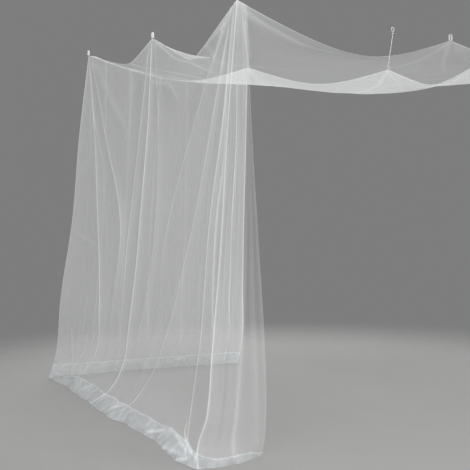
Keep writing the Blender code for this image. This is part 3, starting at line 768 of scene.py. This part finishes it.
# Where the foot of the left wall lies out on the floor: place along it, distance outside the roof's edge
leftFoot = (
    (-0.09, 0.262), (-0.039, 0.279), (0.119, 0.305), (0.333, 0.287), (0.55, 0.256), (0.677, 0.259),
    (0.889, 0.27), (1.1, 0.272), (1.168, 0.284), (1.204, 0.306), (1.3, 0.31), (1.42, 0.296),
    (1.564, 0.3), (1.69, 0.293), (1.8, 0.282), (1.944, 0.292), (2.08, 0.284), (2.216, 0.294),
    (2.3, 0.275), (2.405, 0.262), (2.52, 0.285), (2.6, 0.296), (2.746, 0.306), (2.81, 0.3),
)
# How high the left wall's hem reaches, by place along
leftHemTop = (
    (-0.09, 0.07), (0.04, 0.074), (0.21, 0.089), (0.45, 0.099), (0.61, 0.085), (0.73, 0.091), (0.92, 0.09),
    (1.14, 0.093), (1.32, 0.085), (1.51, 0.087), (1.74, 0.088), (2.0, 0.089), (2.25, 0.099), (2.49, 0.06),
    (2.81, 0.057),
)
# Where fine gathers show: place along, height above the floor, their reach both ways, and their strength
leftGatherZones = (
    (1.45, 1.42, 0.42, 0.42, 0.9), (0.2, 1.9, 0.25, 0.5, 0.45), (2.25, 1.7, 0.35, 0.5, 0.35),
    (1.6, 0.8, 0.5, 0.4, 0.3),
)
leftWallSettings = {
    "name": "leftWallNet",
    "node": "left_wall",
    "columnPitch": 0.0105,
    "rowPitch": 0.0125,
    "hemRowPitch": 0.004,
    "hemHeight": 0.105,        # the finer rows start here, over the hem's own top
    "hemTop": leftHemTop,
    "hemWander": 0.003,
    "hemShade": 0.24,
    "hemLine": 0.35,
    "gatherHeight": 0.0035,
    "gatherWidth": 0.045,
    "gatherZones": leftGatherZones,
    "bunchShare": 0.5,         # how much a steep side thickens the net
    "baseShade": (0.0, 0.0),   # how much denser or thinner the plain cloth is, half-way down and at its foot
    "waveHeight": 0.006,
    "pleats": (),              # where pleats start and end, their width and height
    "foot": leftFoot,
    "held": "hung",
    "flat": (3.0, 2.6),
    "area": None,
    "seed": 100,
}
farWallSettings = dict(
    leftWallSettings, name="farWallNet", node="far_wall", pleats=((1.02, 1.42, 0.030, 0.006),),
    hemHeight=0.110, hemTop=((-0.3, 0.100), (1.3, 0.100)), hemShade=0.36,
    gatherZones=((0.7, 1.4, 0.6, 0.8, 0.3),), foot=(), flat=(1.5, 2.6), seed=200,
)
nearCurtainSettings = dict(
    leftWallSettings, name="nearCurtainNet", node="near_curtain", columnPitch=0.0045, hemRowPitch=0.0025,
    hemHeight=0.080, hemWander=0.0005, hemShade=0.09, hemLine=0.22, hemTop=(
        (-0.262, 0.074), (-0.241, 0.070), (-0.203, 0.049), (-0.15, 0.040), (-0.083, 0.038),
        (0.0, 0.043), (0.083, 0.038), (0.138, 0.022), (0.18, 0.018),
    ),
    pleats=((-0.03, 0.30, 0.046, 0.005),), gatherHeight=0.001, waveHeight=0.003, gatherZones=(), foot=(),
    bunchShare=0.10, baseShade=(-0.18, -0.04), held="gathered", flat=(0.46, 2.55), area=0.84, seed=300,
)
wallShape = {
    "goreSink": 0.35,          # how deep the cloth sinks between two folds, as a share of their ridges
    "leastSink": 0.006,
    "firstSwell": 0.04,
    "swellSpread": 0.7,
    "besideFold": (0.003, 0.0065),     # extra columns this far from each fold line
    "widestColumn": 1.7,       # of the column pitch, where folds spread out
    "creaseRidge": 0.004,      # the thin ridge of a crease, on top of its fold
    "ridgeWidth": 0.007,
    "haloShare": 0.10,         # soft thickening to both sides of a fold
    "haloWidth": 0.035,
    "topHold": 0.10,           # how far from the roof's edge and a corner the cloth stays without ripples
    "cornerHold": 0.025,
    "seamShade": 0.45,
    "seamWidth": 0.007,
    "baseSpan": (0.5, 1.0),
}
gatherShape = {
    "plain": 0.06,             # gathers outside the zones, as a share
    "leastFan": 0.25,
    "gathers": ((1.0, 1.0, 1.1), (0.5, 0.4, 1.7)),     # strength, width, changes to a metre down
    "baseShade": 0.05,
    "ridgeShade": 0.10,
    "ridgePower": 1.5,
    "waveLengths": (0.31, 0.52),
    "pleatWander": (0.9, 0.15, 1.3),
    "pleatEnds": (0.05, 0.01),
    "leastPleat": 0.35,
    "creaseSpread": 1.5,
    "creaseFades": (0.05, 0.6),
}
hemShape = {
    "wanderLength": 0.09,
    "edge": (-0.001, 0.003),
    "rumple": 0.0045,
    "rumpleShade": 0.13,
    "rumples": ((1.0, 0.055, 9.0, 0.05), (0.6, 0.022, -16.0, 0.03)),   # strength, length, slant, rise
    "rumpleFull": 0.25,        # how far down the hem its rumples are at their fullest, as a share
    "lift": 0.5,
    "liftFull": 0.4,
    "lineWidth": 0.004,
    "lineDrop": 0.003,
    "footLineShare": 0.6,
    "leastHeight": 0.001,
    "stitchDrop": 0.004,       # the stitches run this far under the hem's top
    "stitchLift": 0.0006,
}


def leftPlace(along, out):
    share = np.clip(along / roofLength, 0.0, 1.0)
    return -np.maximum(out, seamGap), along + seamGap * (1.0 - 2.0 * share)


def farPlace(along, out):
    return along + seamGap, roofLength + np.maximum(out, seamGap)


def nearPlace(along, out):
    return along + seamGap, np.where(out < 0.0, -out, -np.maximum(out, seamGap))


def wallColumns(folds, pitch):
    # Stations across a wall as a gap between two folds and a share of it, closer beside each fold line
    gaps, shares, across = [], [], []
    start = 0.0
    middle = len(levels) // 2 - 1
    for i in range(len(folds) - 1):
        spreads = np.abs(np.subtract(folds[i + 1].places, folds[i].places))
        wide = spreads[middle]
        count = max(4, round(wide / pitch), round(max(spreads) / (wallShape["widestColumn"] * pitch)))
        stations = set(np.linspace(0.0, 1.0, count + 1).round(4))
        for beside in wallShape["besideFold"]:
            stations |= {round(beside / wide, 4), round(1.0 - beside / wide, 4)}
        stations = sorted(stations)[:-1] if i < len(folds) - 2 else sorted(stations)
        for share in stations:
            gaps.append(i)
            shares.append(share)
            across.append(start + wide * share)
        start += wide
    return np.array(gaps), np.array(shares), np.array(across)


def wallGathers(s, along, height, fromTop, mid, fan, swell):
    # Gathers that run down the cloth, soft waves, and the pleats of a drawn-back edge
    shape, seed = gatherShape, s["seed"]
    gathers = sum(
        strength * softNoise(mid / (width * s["gatherWidth"]), fromTop * change, seed + k)
        for k, (strength, width, change) in enumerate(shape["gathers"])
    )
    zone = np.full(along.shape, shape["plain"])
    for place, level, reachAlong, reachUp, strength in s["gatherZones"]:
        zone += strength * np.exp(-((along - place) / reachAlong) ** 2 - ((height - level) / reachUp) ** 2)
    push = s["gatherHeight"] * gathers * fan * zone
    ridges = np.maximum(gathers, 0.0) ** shape["ridgePower"]
    shade = zone * (shape["baseShade"] + shape["ridgeShade"] * ridges)
    waveAlong, waveDown = shape["waveLengths"]
    push += s["waveHeight"] * softNoise(mid / waveAlong, fromTop / waveDown, seed + 2)
    startSoft, endSoft = shape["pleatEnds"]
    wander, wanderWidth, change = shape["pleatWander"]
    wander = wander * softNoise(mid / wanderWidth, fromTop * change, seed + 3)
    for begin, end, pleatWidth, pleatHeight in s["pleats"]:
        window = smoothStep(begin, begin + startSoft, mid) * (1.0 - smoothStep(end - endSoft, end, mid))
        window = window * (shape["leastPleat"] + (1.0 - shape["leastPleat"]) * swell[:, None])
        push += pleatHeight * np.sin(2.0 * np.pi * mid / pleatWidth + wander) * window
    return push, shade


def makeWall(s, folds, creases, edge, toPlace, outward):
    # The sheet between the fold lines, from the roof's edge down to the floor
    shape, hem = wallShape, hemShape
    gap, share, across = wallColumns(folds, s["columnPitch"])
    tallest = max(point.height for point in edge)
    hemStart = 1.0 - s["hemHeight"] / tallest
    downs = np.concatenate([
        np.linspace(0.0, hemStart, round((tallest - s["hemHeight"]) / s["rowPitch"]), endpoint=False),
        np.linspace(hemStart, 1.0, round(s["hemHeight"] / s["hemRowPitch"]) + 1),
    ])
    down = downs[:, None]
    swell = np.sin(np.pi * np.minimum(1.0, shape["firstSwell"] + (1.0 - shape["firstSwell"]) * downs))
    swell = np.maximum(swell, 0.0) ** shape["swellSpread"]
    places = np.array([throughPoints(levels, fold.places, downs) for fold in folds])
    outs = np.array([throughPoints(levels, fold.outs, downs) + fold.ridge * swell for fold in folds])
    ridges = np.array([fold.ridge for fold in folds])
    first, second = places[gap].T, places[gap + 1].T
    along = first + (second - first) * share
    out = outs[gap].T * (1.0 - share) + outs[gap + 1].T * share
    sink = shape["leastSink"] + shape["goreSink"] * (ridges[gap] + ridges[gap + 1])
    out = out - sink * np.sin(np.pi * down) * np.sin(np.pi * share)
    starts = np.array([fold.places[0] for fold in folds])
    topPlace = starts[gap] + (starts[gap + 1] - starts[gap]) * share
    top = edgeHeight(edge, np.clip(topPlace, 0.0, edge[-1].place))
    height = top * (1.0 - down)
    x, y = toPlace(along, out)
    smooth = np.stack([x, y, height - floorDepth], -1)

    # Distances in metres to the nearest fold lines and to the wall's own edges
    wide = np.abs(second - first)
    toStart, toEnd = share * wide, (1.0 - share) * wide
    fromCorner = np.minimum(np.where(gap == 0, toStart, 1.0), np.where(gap == len(folds) - 2, toEnd, 1.0))
    fromTop = down * top
    free = smoothStep(0.0, shape["topHold"], fromTop) * smoothStep(0.0, shape["cornerHold"], fromCorner)
    shades = np.array([throughPoints(levels, fold.shades, downs) for fold in folds])
    widths = np.array([fold.width for fold in folds])
    firstShade, secondShade = shades[gap].T, shades[gap + 1].T

    def besideFolds(width):
        return firstShade * bell(toStart, width) + secondShade * bell(toEnd, width)

    shade = np.maximum(firstShade * bell(toStart, widths[gap]), secondShade * bell(toEnd, widths[gap + 1]))
    shade = shade + shape["haloShare"] * besideFolds(shape["haloWidth"])
    shade = shade + np.interp(down, shape["baseSpan"], s["baseShade"])
    push = shape["creaseRidge"] * besideFolds(shape["ridgeWidth"])
    mid = np.broadcast_to(across, along.shape)
    middleWide = np.maximum(wide[len(downs) // 2], 1e-3)
    fan = np.clip(wide / middleWide, gatherShape["leastFan"], 1.0)
    gatherPush, gatherShade = wallGathers(s, along, height, fromTop, mid, fan, swell)
    creasePush, creaseShade = creased(
        along, height, creases, gatherShape["creaseSpread"], *gatherShape["creaseFades"],
    )
    push = push + gatherPush + creasePush
    shade = shade + gatherShade + creaseShade

    # The hem: a denser double band that rumples where it lies on the floor
    seed = s["seed"]
    hemPlaces, hemTops = np.array(s["hemTop"]).T
    hemWave = np.interp(along, hemPlaces, hemTops)
    hemWave = hemWave + s["hemWander"] * softNoise(along / hem["wanderLength"], 0.5, seed + 7)
    intoHem = smoothStep(*hem["edge"], hemWave - height)
    rumple = sum(
        strength * softNoise(along / length + height * slant, height / rise, seed + k)
        for k, (strength, length, slant, rise) in enumerate(hem["rumples"], 4)
    )
    low = np.clip(1.0 - height / s["hemHeight"], 0.0, 1.0)
    push += hem["rumple"] * rumple * smoothStep(0.0, hem["rumpleFull"], low)
    if s["foot"]:
        footPlaces, footOuts = np.array(s["foot"]).T
        push += (np.interp(along, footPlaces, footOuts) - out[-1][None, :]) * smoothStep(0.0, 1.0, low)
    x, y = toPlace(along, out + push * free)
    lift = hem["lift"] * hem["rumple"] * np.abs(rumple) * smoothStep(0.0, hem["liftFull"], low)
    rough = np.stack([x, y, np.maximum(height + lift * free, hem["leastHeight"]) - floorDepth], -1)

    shade = shade + s["bunchShare"] * bunching(smooth, rough)
    shade += intoHem * (s["hemShade"] + hem["rumpleShade"] * rumple)
    shade += s["hemLine"] * bell(height - hemWave + hem["lineDrop"], hem["lineWidth"])
    shade += hem["footLineShare"] * s["hemLine"] * bell(height, hem["lineWidth"])
    shade += shape["seamShade"] * bell(fromTop, shape["seamWidth"])
    clothPiece(
        s["name"], rough, (mid, fromTop), (along, fromTop), shade, intoHem, s["node"], outward,
    )
    return stitchLine(height, hemWave, rough, outward)


def stitchLine(height, hemWave, rough, outward):
    # The line of stitches just under the hem's top
    line = []
    for j in range(height.shape[1]):
        up = height[::-1, j]
        level = np.interp(0.0, (height - hemWave)[::-1, j] + hemShape["stitchDrop"], up)
        line.append([np.interp(level, up, rough[::-1, j, k]) for k in range(3)])
    return np.array(line) + hemShape["stitchLift"] * np.asarray(outward)


hemLines = [
    makeWall(leftWallSettings, leftWallFolds, leftWallCreases, leftEdge, leftPlace, (-1.0, 0.0, 0.0)),
    makeWall(farWallSettings, farWallFolds, (), farEdge, farPlace, (0.0, 1.0, 0.0)),
    makeWall(
        nearCurtainSettings, nearCurtainFolds, nearCurtainCreases, nearEdge, nearPlace, (0.0, -1.0, 0.0),
    ),
]
report("walls and curtain")


# Tape loops sewn to the roof's tips
loopSettings = {
    "arcSteps": 18,
    "legSteps": 6,
    "cornerSteps": 4,
    "footSteps": 6,
    "cornerRadius": 0.0016,
    "edgeRound": 0.00045,
    "faceShare": 0.3,          # where the two lines down the tape's faces run, as a share of its half width
    "waver": 0.0004,           # how much the tape's edges wander
    "waverPace": 0.31,
    "waverSeed": 400,
}


def addTube(bm, rings, closed):
    # Quads along rings of points, with a cap at each end of an open run
    rings = [[bm.verts.new(point) for point in ring] for ring in rings]
    count, sides = len(rings), len(rings[0])
    for i in range(count if closed else count - 1):
        for j in range(sides):
            k, m = (i + 1) % count, (j + 1) % sides
            bm.faces.new((rings[i][j], rings[i][m], rings[k][m], rings[k][j]))
    if not closed:
        bm.faces.new(rings[0])
        bm.faces.new(rings[-1])


def finishTubes(name, bm, material):
    bmesh.ops.recalc_face_normals(bm, faces=bm.faces)
    mesh = bpy.data.meshes.new(name)
    bm.to_mesh(mesh)
    bm.free()
    mesh.shade_smooth()
    return addPiece(name, mesh, material)


def besideTip(tip, reach, back):
    # A place by a hanging point, from how far it lies along its loop's span and across the tape
    cosine, sine = math.cos(math.radians(tip.turn)), math.sin(math.radians(tip.turn))
    return tip.x + reach * cosine - back * sine, tip.y + reach * sine + back * cosine


def loopOutline():
    # Middle line of the tape: up one leg, round the top, down the other and back under
    s = loopSettings
    legSteps, cornerSteps, footSteps = s["legSteps"], s["cornerSteps"], s["footSteps"]
    radius = 0.5 * tape["span"] - 0.5 * tape["thickness"]
    spring = tape["height"] - 0.5 * tape["span"]
    foot, corner = 0.5 * tape["thickness"], s["cornerRadius"]
    legFoot = foot + corner

    def arc(x, y, reach, start, turn, steps):
        angles = [math.pi * (start + turn * k) for k in steps]
        return [(x + reach * math.cos(angle), y + reach * math.sin(angle)) for angle in angles]

    points = [(radius, legFoot + (spring - legFoot) * k / legSteps) for k in range(legSteps)]
    points += arc(0.0, spring, radius, 0.0, 1.0 / s["arcSteps"], range(s["arcSteps"] + 1))
    points += [(-radius, spring - (spring - legFoot) * (k + 1) / legSteps) for k in range(legSteps)]
    points += arc(corner - radius, legFoot, corner, 1.0, 0.5 / cornerSteps, range(1, cornerSteps))
    points += [(corner - radius + 2.0 * (radius - corner) * k / footSteps, foot) for k in range(1, footSteps)]
    points += arc(radius - corner, legFoot, corner, 1.5, 0.5 / cornerSteps, range(1, cornerSteps))
    return np.array(points)


def loopSection():
    # Half of the tape's section, through its thickness and across it, and the other half opposite
    thick, wide, soft = 0.5 * tape["thickness"], 0.5 * tape["width"], loopSettings["edgeRound"]
    face = loopSettings["faceShare"] * wide
    half = (
        (-thick, -wide + soft), (-thick + soft, -wide), (thick - soft, -wide),
        (thick, -wide + soft), (thick, -face), (thick, face),
    )
    return half + tuple((-through, -across) for through, across in half)


def makeLoop(k, tip):
    s = loopSettings
    outline = loopOutline()
    tangent = np.roll(outline, -1, axis=0) - np.roll(outline, 1, axis=0)
    tangent /= np.linalg.norm(tangent, axis=1, keepdims=True)
    away = np.stack([tangent[:, 1], -tangent[:, 0]], -1)
    rings = []
    for i, (point, side) in enumerate(zip(outline, away)):
        waver = s["waver"] * float(softNoise(i * s["waverPace"], 0.5, s["waverSeed"] + k))
        ring = []
        for through, across in loopSection():
            reach, up = point + side * through
            across = across - waver if across > 0.0 else across + waver
            ring.append((*besideTip(tip, reach, across), tip.height + seamGap + up - floorDepth))
        rings.append(ring)
    bm = bmesh.new()
    addTube(bm, rings, closed=True)
    piece = finishTubes("tapeLoop_" + tip.name, bm, tapeMaterial)
    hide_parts("loop_" + tip.name)


for k, tip in enumerate(hangingPoints):
    makeLoop(k, tip)
report("tape loops")


# Hanging cords, each with its knot and the eye of cord above the knot
cordSettings = {
    "diameter": 0.005,
    "strands": 3,
    "strandRadius": 0.27,      # as a share of the cord's diameter
    "strandOffset": 0.245,
    "strandSides": 7,
    "layLength": 0.024,        # one full turn of a strand
    "rise": (0.0, 0.080, 0.170, 0.262),        # heights over its foot at which a cord's route is given
    "pathPoints": 22,
    "runPoints": 150,
    "knotRadius": 0.009,
    "knotPoints": 120,
    "knotCord": 0.92,          # the cord is drawn thinner in the knot
    "knotInset": 0.52,
    "knotOverlap": 1.15,       # how far its turns cross over each other
    "knotShares": (1.0 / 2.1, 0.62, 1.0 / 2.15),
    "eyeHeight": 0.046,
    "eyeWidth": 0.030,
    "eyeFootShare": 0.55,
    "eyePoints": 120,
}
CordRoute = namedtuple("CordRoute", "name xs y foot")
cordRoutes = rowsOf(
    CordRoute,
    ("far_middle", (1.330, 1.321, 1.311, 1.301), 2.700, 2.4476),
    ("far_right", (2.660, 2.671, 2.685, 2.700), 2.700, 2.4886),
)


def strandPiece(name, path, closed, diameter):
    # Strands laid round a path, as one mesh
    s = cordSettings
    ahead = np.roll(path, -1, axis=0) if closed else np.vstack([path[1:], path[-1:]])
    back = np.roll(path, 1, axis=0) if closed else np.vstack([path[:1], path[:-1]])
    tangent = ahead - back
    tangent /= np.linalg.norm(tangent, axis=1, keepdims=True)
    side = np.cross(tangent, (0.0, 1.0, 0.0))
    side /= np.linalg.norm(side, axis=1, keepdims=True)
    up = np.cross(tangent, side)
    run = np.concatenate([[0.0], np.cumsum(np.linalg.norm(np.diff(path, axis=0), axis=1))])
    total = run[-1] + (np.linalg.norm(path[0] - path[-1]) if closed else 0.0)
    turns = max(1, round(total / s["layLength"])) if closed else total / s["layLength"]
    angles = 2.0 * np.pi * np.arange(s["strandSides"]) / s["strandSides"]
    around = s["strandRadius"] * diameter * (
        np.cos(angles)[None, :, None] * side[:, None] + np.sin(angles)[None, :, None] * up[:, None]
    )
    bm = bmesh.new()
    for strand in range(s["strands"]):
        phase = 2.0 * np.pi * (turns * run / total + strand / s["strands"])
        middle = path + s["strandOffset"] * diameter * (
            np.cos(phase)[:, None] * side + np.sin(phase)[:, None] * up
        )
        addTube(bm, middle[:, None] + around, closed)
    return finishTubes(name, bm, cordMaterial)


def cordPath(route, count):
    s = cordSettings
    heights = route.foot + np.linspace(0.0, s["rise"][-1], count)
    xs = throughPoints([route.foot + rise for rise in s["rise"]], route.xs, heights)
    return np.stack([xs, np.full(count, route.y), heights - floorDepth], -1)


def makeKnot(name, centre):
    # One turn and a half of the cord drawn up tight over itself
    s = cordSettings
    wind = np.linspace(0.0, 2.0 * np.pi, s["knotPoints"], endpoint=False)
    reach = s["knotRadius"] - s["knotInset"] * s["diameter"]
    over = s["knotOverlap"]
    turns = np.stack([
        np.sin(wind) + over * np.sin(2.0 * wind),
        -np.sin(3.0 * wind),
        np.cos(wind) - over * np.cos(2.0 * wind),
    ], -1)
    path = centre + reach * turns * np.array(s["knotShares"])
    knot = strandPiece("knot_turns_" + name, path, True, s["knotCord"] * s["diameter"])
    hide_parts("knot_" + name)
    return knot


def makeEye(name, foot):
    s = cordSettings
    turn = np.linspace(0.0, 2.0 * np.pi, s["eyePoints"], endpoint=False)
    rise = 0.5 * (1.0 - np.cos(turn))
    wide = 0.5 * s["eyeWidth"] * np.sin(turn) * (s["eyeFootShare"] + (1.0 - s["eyeFootShare"]) * rise)
    lift = 0.5 * s["diameter"] + seamGap + (s["eyeHeight"] - s["diameter"]) * rise
    path = foot + np.stack([wide, np.zeros(s["eyePoints"]), lift], -1)
    eye = strandPiece("eye_loop_" + name, path, True, s["diameter"])
    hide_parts("eye_" + name)
    return eye


def makeCord(route):
    s = cordSettings
    run = cordPath(route, s["runPoints"])
    cord = strandPiece("cord_run_" + route.name, run, False, s["diameter"])
    centre = run[-1] + np.array((0.0, 0.0, seamGap + s["knotRadius"]))
    knot = makeKnot(route.name, centre)
    eye = makeEye(route.name, centre + np.array((0.0, 0.0, s["knotRadius"])))
    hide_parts("cord_" + route.name)


for route in cordRoutes:
    makeCord(route)
report("cords, knots and eyes")


# Stitches along the seams, the hems and the feet of the tape loops
stitchSettings = {
    "pitch": 0.0065,
    "length": 0.0042,
    "threadRadius": 0.0004,
    "sides": 5,
    "seamInset": 0.005,
    "seamLift": 0.0006,
    "seamPoints": 500,
    "tackReach": 0.0062,       # half the length of a row across a loop's foot
    "tackSpacing": 0.004,
    "tackLift": 0.0003,
}


def stitchTree():
    tree = bpy.data.node_groups.new("stitchRow", "GeometryNodeTree")
    face = tree.interface
    face.new_socket("Geometry", in_out="INPUT", socket_type="NodeSocketGeometry")
    sockets = {}
    for label, kind in (
        ("Pitch", "Float"), ("Stitch Length", "Float"), ("Thread Radius", "Float"), ("Sides", "Int"),
        ("Material", "Material"),
    ):
        sockets[label] = face.new_socket(label, in_out="INPUT", socket_type="NodeSocket" + kind).identifier
    face.new_socket("Geometry", in_out="OUTPUT", socket_type="NodeSocketGeometry")
    nodes, links = tree.nodes, tree.links
    given, result, toCurve, toPoints, aim, thread, spread, realize, paint = map(nodes.new, (
        "NodeGroupInput", "NodeGroupOutput", "GeometryNodeMeshToCurve", "GeometryNodeCurveToPoints",
        "FunctionNodeAlignRotationToVector", "GeometryNodeMeshCylinder", "GeometryNodeInstanceOnPoints",
        "GeometryNodeRealizeInstances", "GeometryNodeSetMaterial",
    ))
    toPoints.mode = "LENGTH"
    aim.axis = "Z"
    thread.fill_type = "NGON"
    for source, output, target, socket in (
        (given, "Geometry", toCurve, "Mesh"), (toCurve, "Curve", toPoints, "Curve"),
        (given, "Pitch", toPoints, "Length"), (toPoints, "Tangent", aim, "Vector"),
        (given, "Sides", thread, "Vertices"), (given, "Thread Radius", thread, "Radius"),
        (given, "Stitch Length", thread, "Depth"), (toPoints, "Points", spread, "Points"),
        (thread, "Mesh", spread, "Instance"), (aim, "Rotation", spread, "Rotation"),
        (spread, "Instances", realize, "Geometry"), (realize, "Geometry", paint, "Geometry"),
        (given, "Material", paint, "Material"), (paint, "Geometry", result, "Geometry"),
    ):
        links.new(source.outputs[output], target.inputs[socket])
    return tree, sockets


def makeStitches(name, lines):
    s = stitchSettings
    points, edges = [], []
    for line in lines:
        edges += [(len(points) + k, len(points) + k + 1) for k in range(len(line) - 1)]
        points += [tuple(float(c) for c in point) for point in line]
    guide = bpy.data.meshes.new(name)
    guide.from_pydata(points, edges, [])
    rows = bpy.data.objects.new(name + "Guide", guide)
    bpy.context.collection.objects.link(rows)
    modifier = rows.modifiers.new("stitches", "NODES")
    tree, sockets = stitchTree()
    modifier.node_group = tree
    for label, value in (
        ("Pitch", s["pitch"]), ("Stitch Length", s["length"]), ("Thread Radius", s["threadRadius"]),
        ("Sides", s["sides"]), ("Material", stitchMaterial),
    ):
        modifier[sockets[label]] = value
    graph = bpy.context.evaluated_depsgraph_get()
    mesh = bpy.data.meshes.new_from_object(rows.evaluated_get(graph))
    mesh.name = name
    bpy.data.objects.remove(rows, do_unlink=True)
    addPiece(name, mesh, stitchMaterial)


def roofSeamLines():
    # Lines just inside the roof's four edges, on top of the cloth
    inset, count = stitchSettings["seamInset"], stitchSettings["seamPoints"]
    alongX = np.linspace(inset, roofWidth - inset, count)
    alongY = np.linspace(inset, roofLength - inset, count)
    lines = []
    for x, y in (
        (alongX, np.full(count, inset)), (alongX, np.full(count, roofLength - inset)),
        (np.full(count, inset), alongY), (np.full(count, roofWidth - inset), alongY),
    ):
        lines.append(np.stack([x, y, roofHeight(x, y) + stitchSettings["seamLift"] - floorDepth], -1))
    return lines


def barTackLines():
    # Three short rows across the foot of each loop
    s = stitchSettings
    lines = []
    for tip in hangingPoints:
        level = tip.height + seamGap + tape["thickness"] + s["tackLift"] - floorDepth
        for back in (-s["tackSpacing"], 0.0, s["tackSpacing"]):
            lines.append([
                (*besideTip(tip, reach, back), level) for reach in (-s["tackReach"], 0.0, s["tackReach"])
            ])
    return lines


makeStitches("roofSeamStitches", roofSeamLines())
makeStitches("hemStitches", hemLines)
makeStitches("loopTacks", barTackLines())
report("stitches")
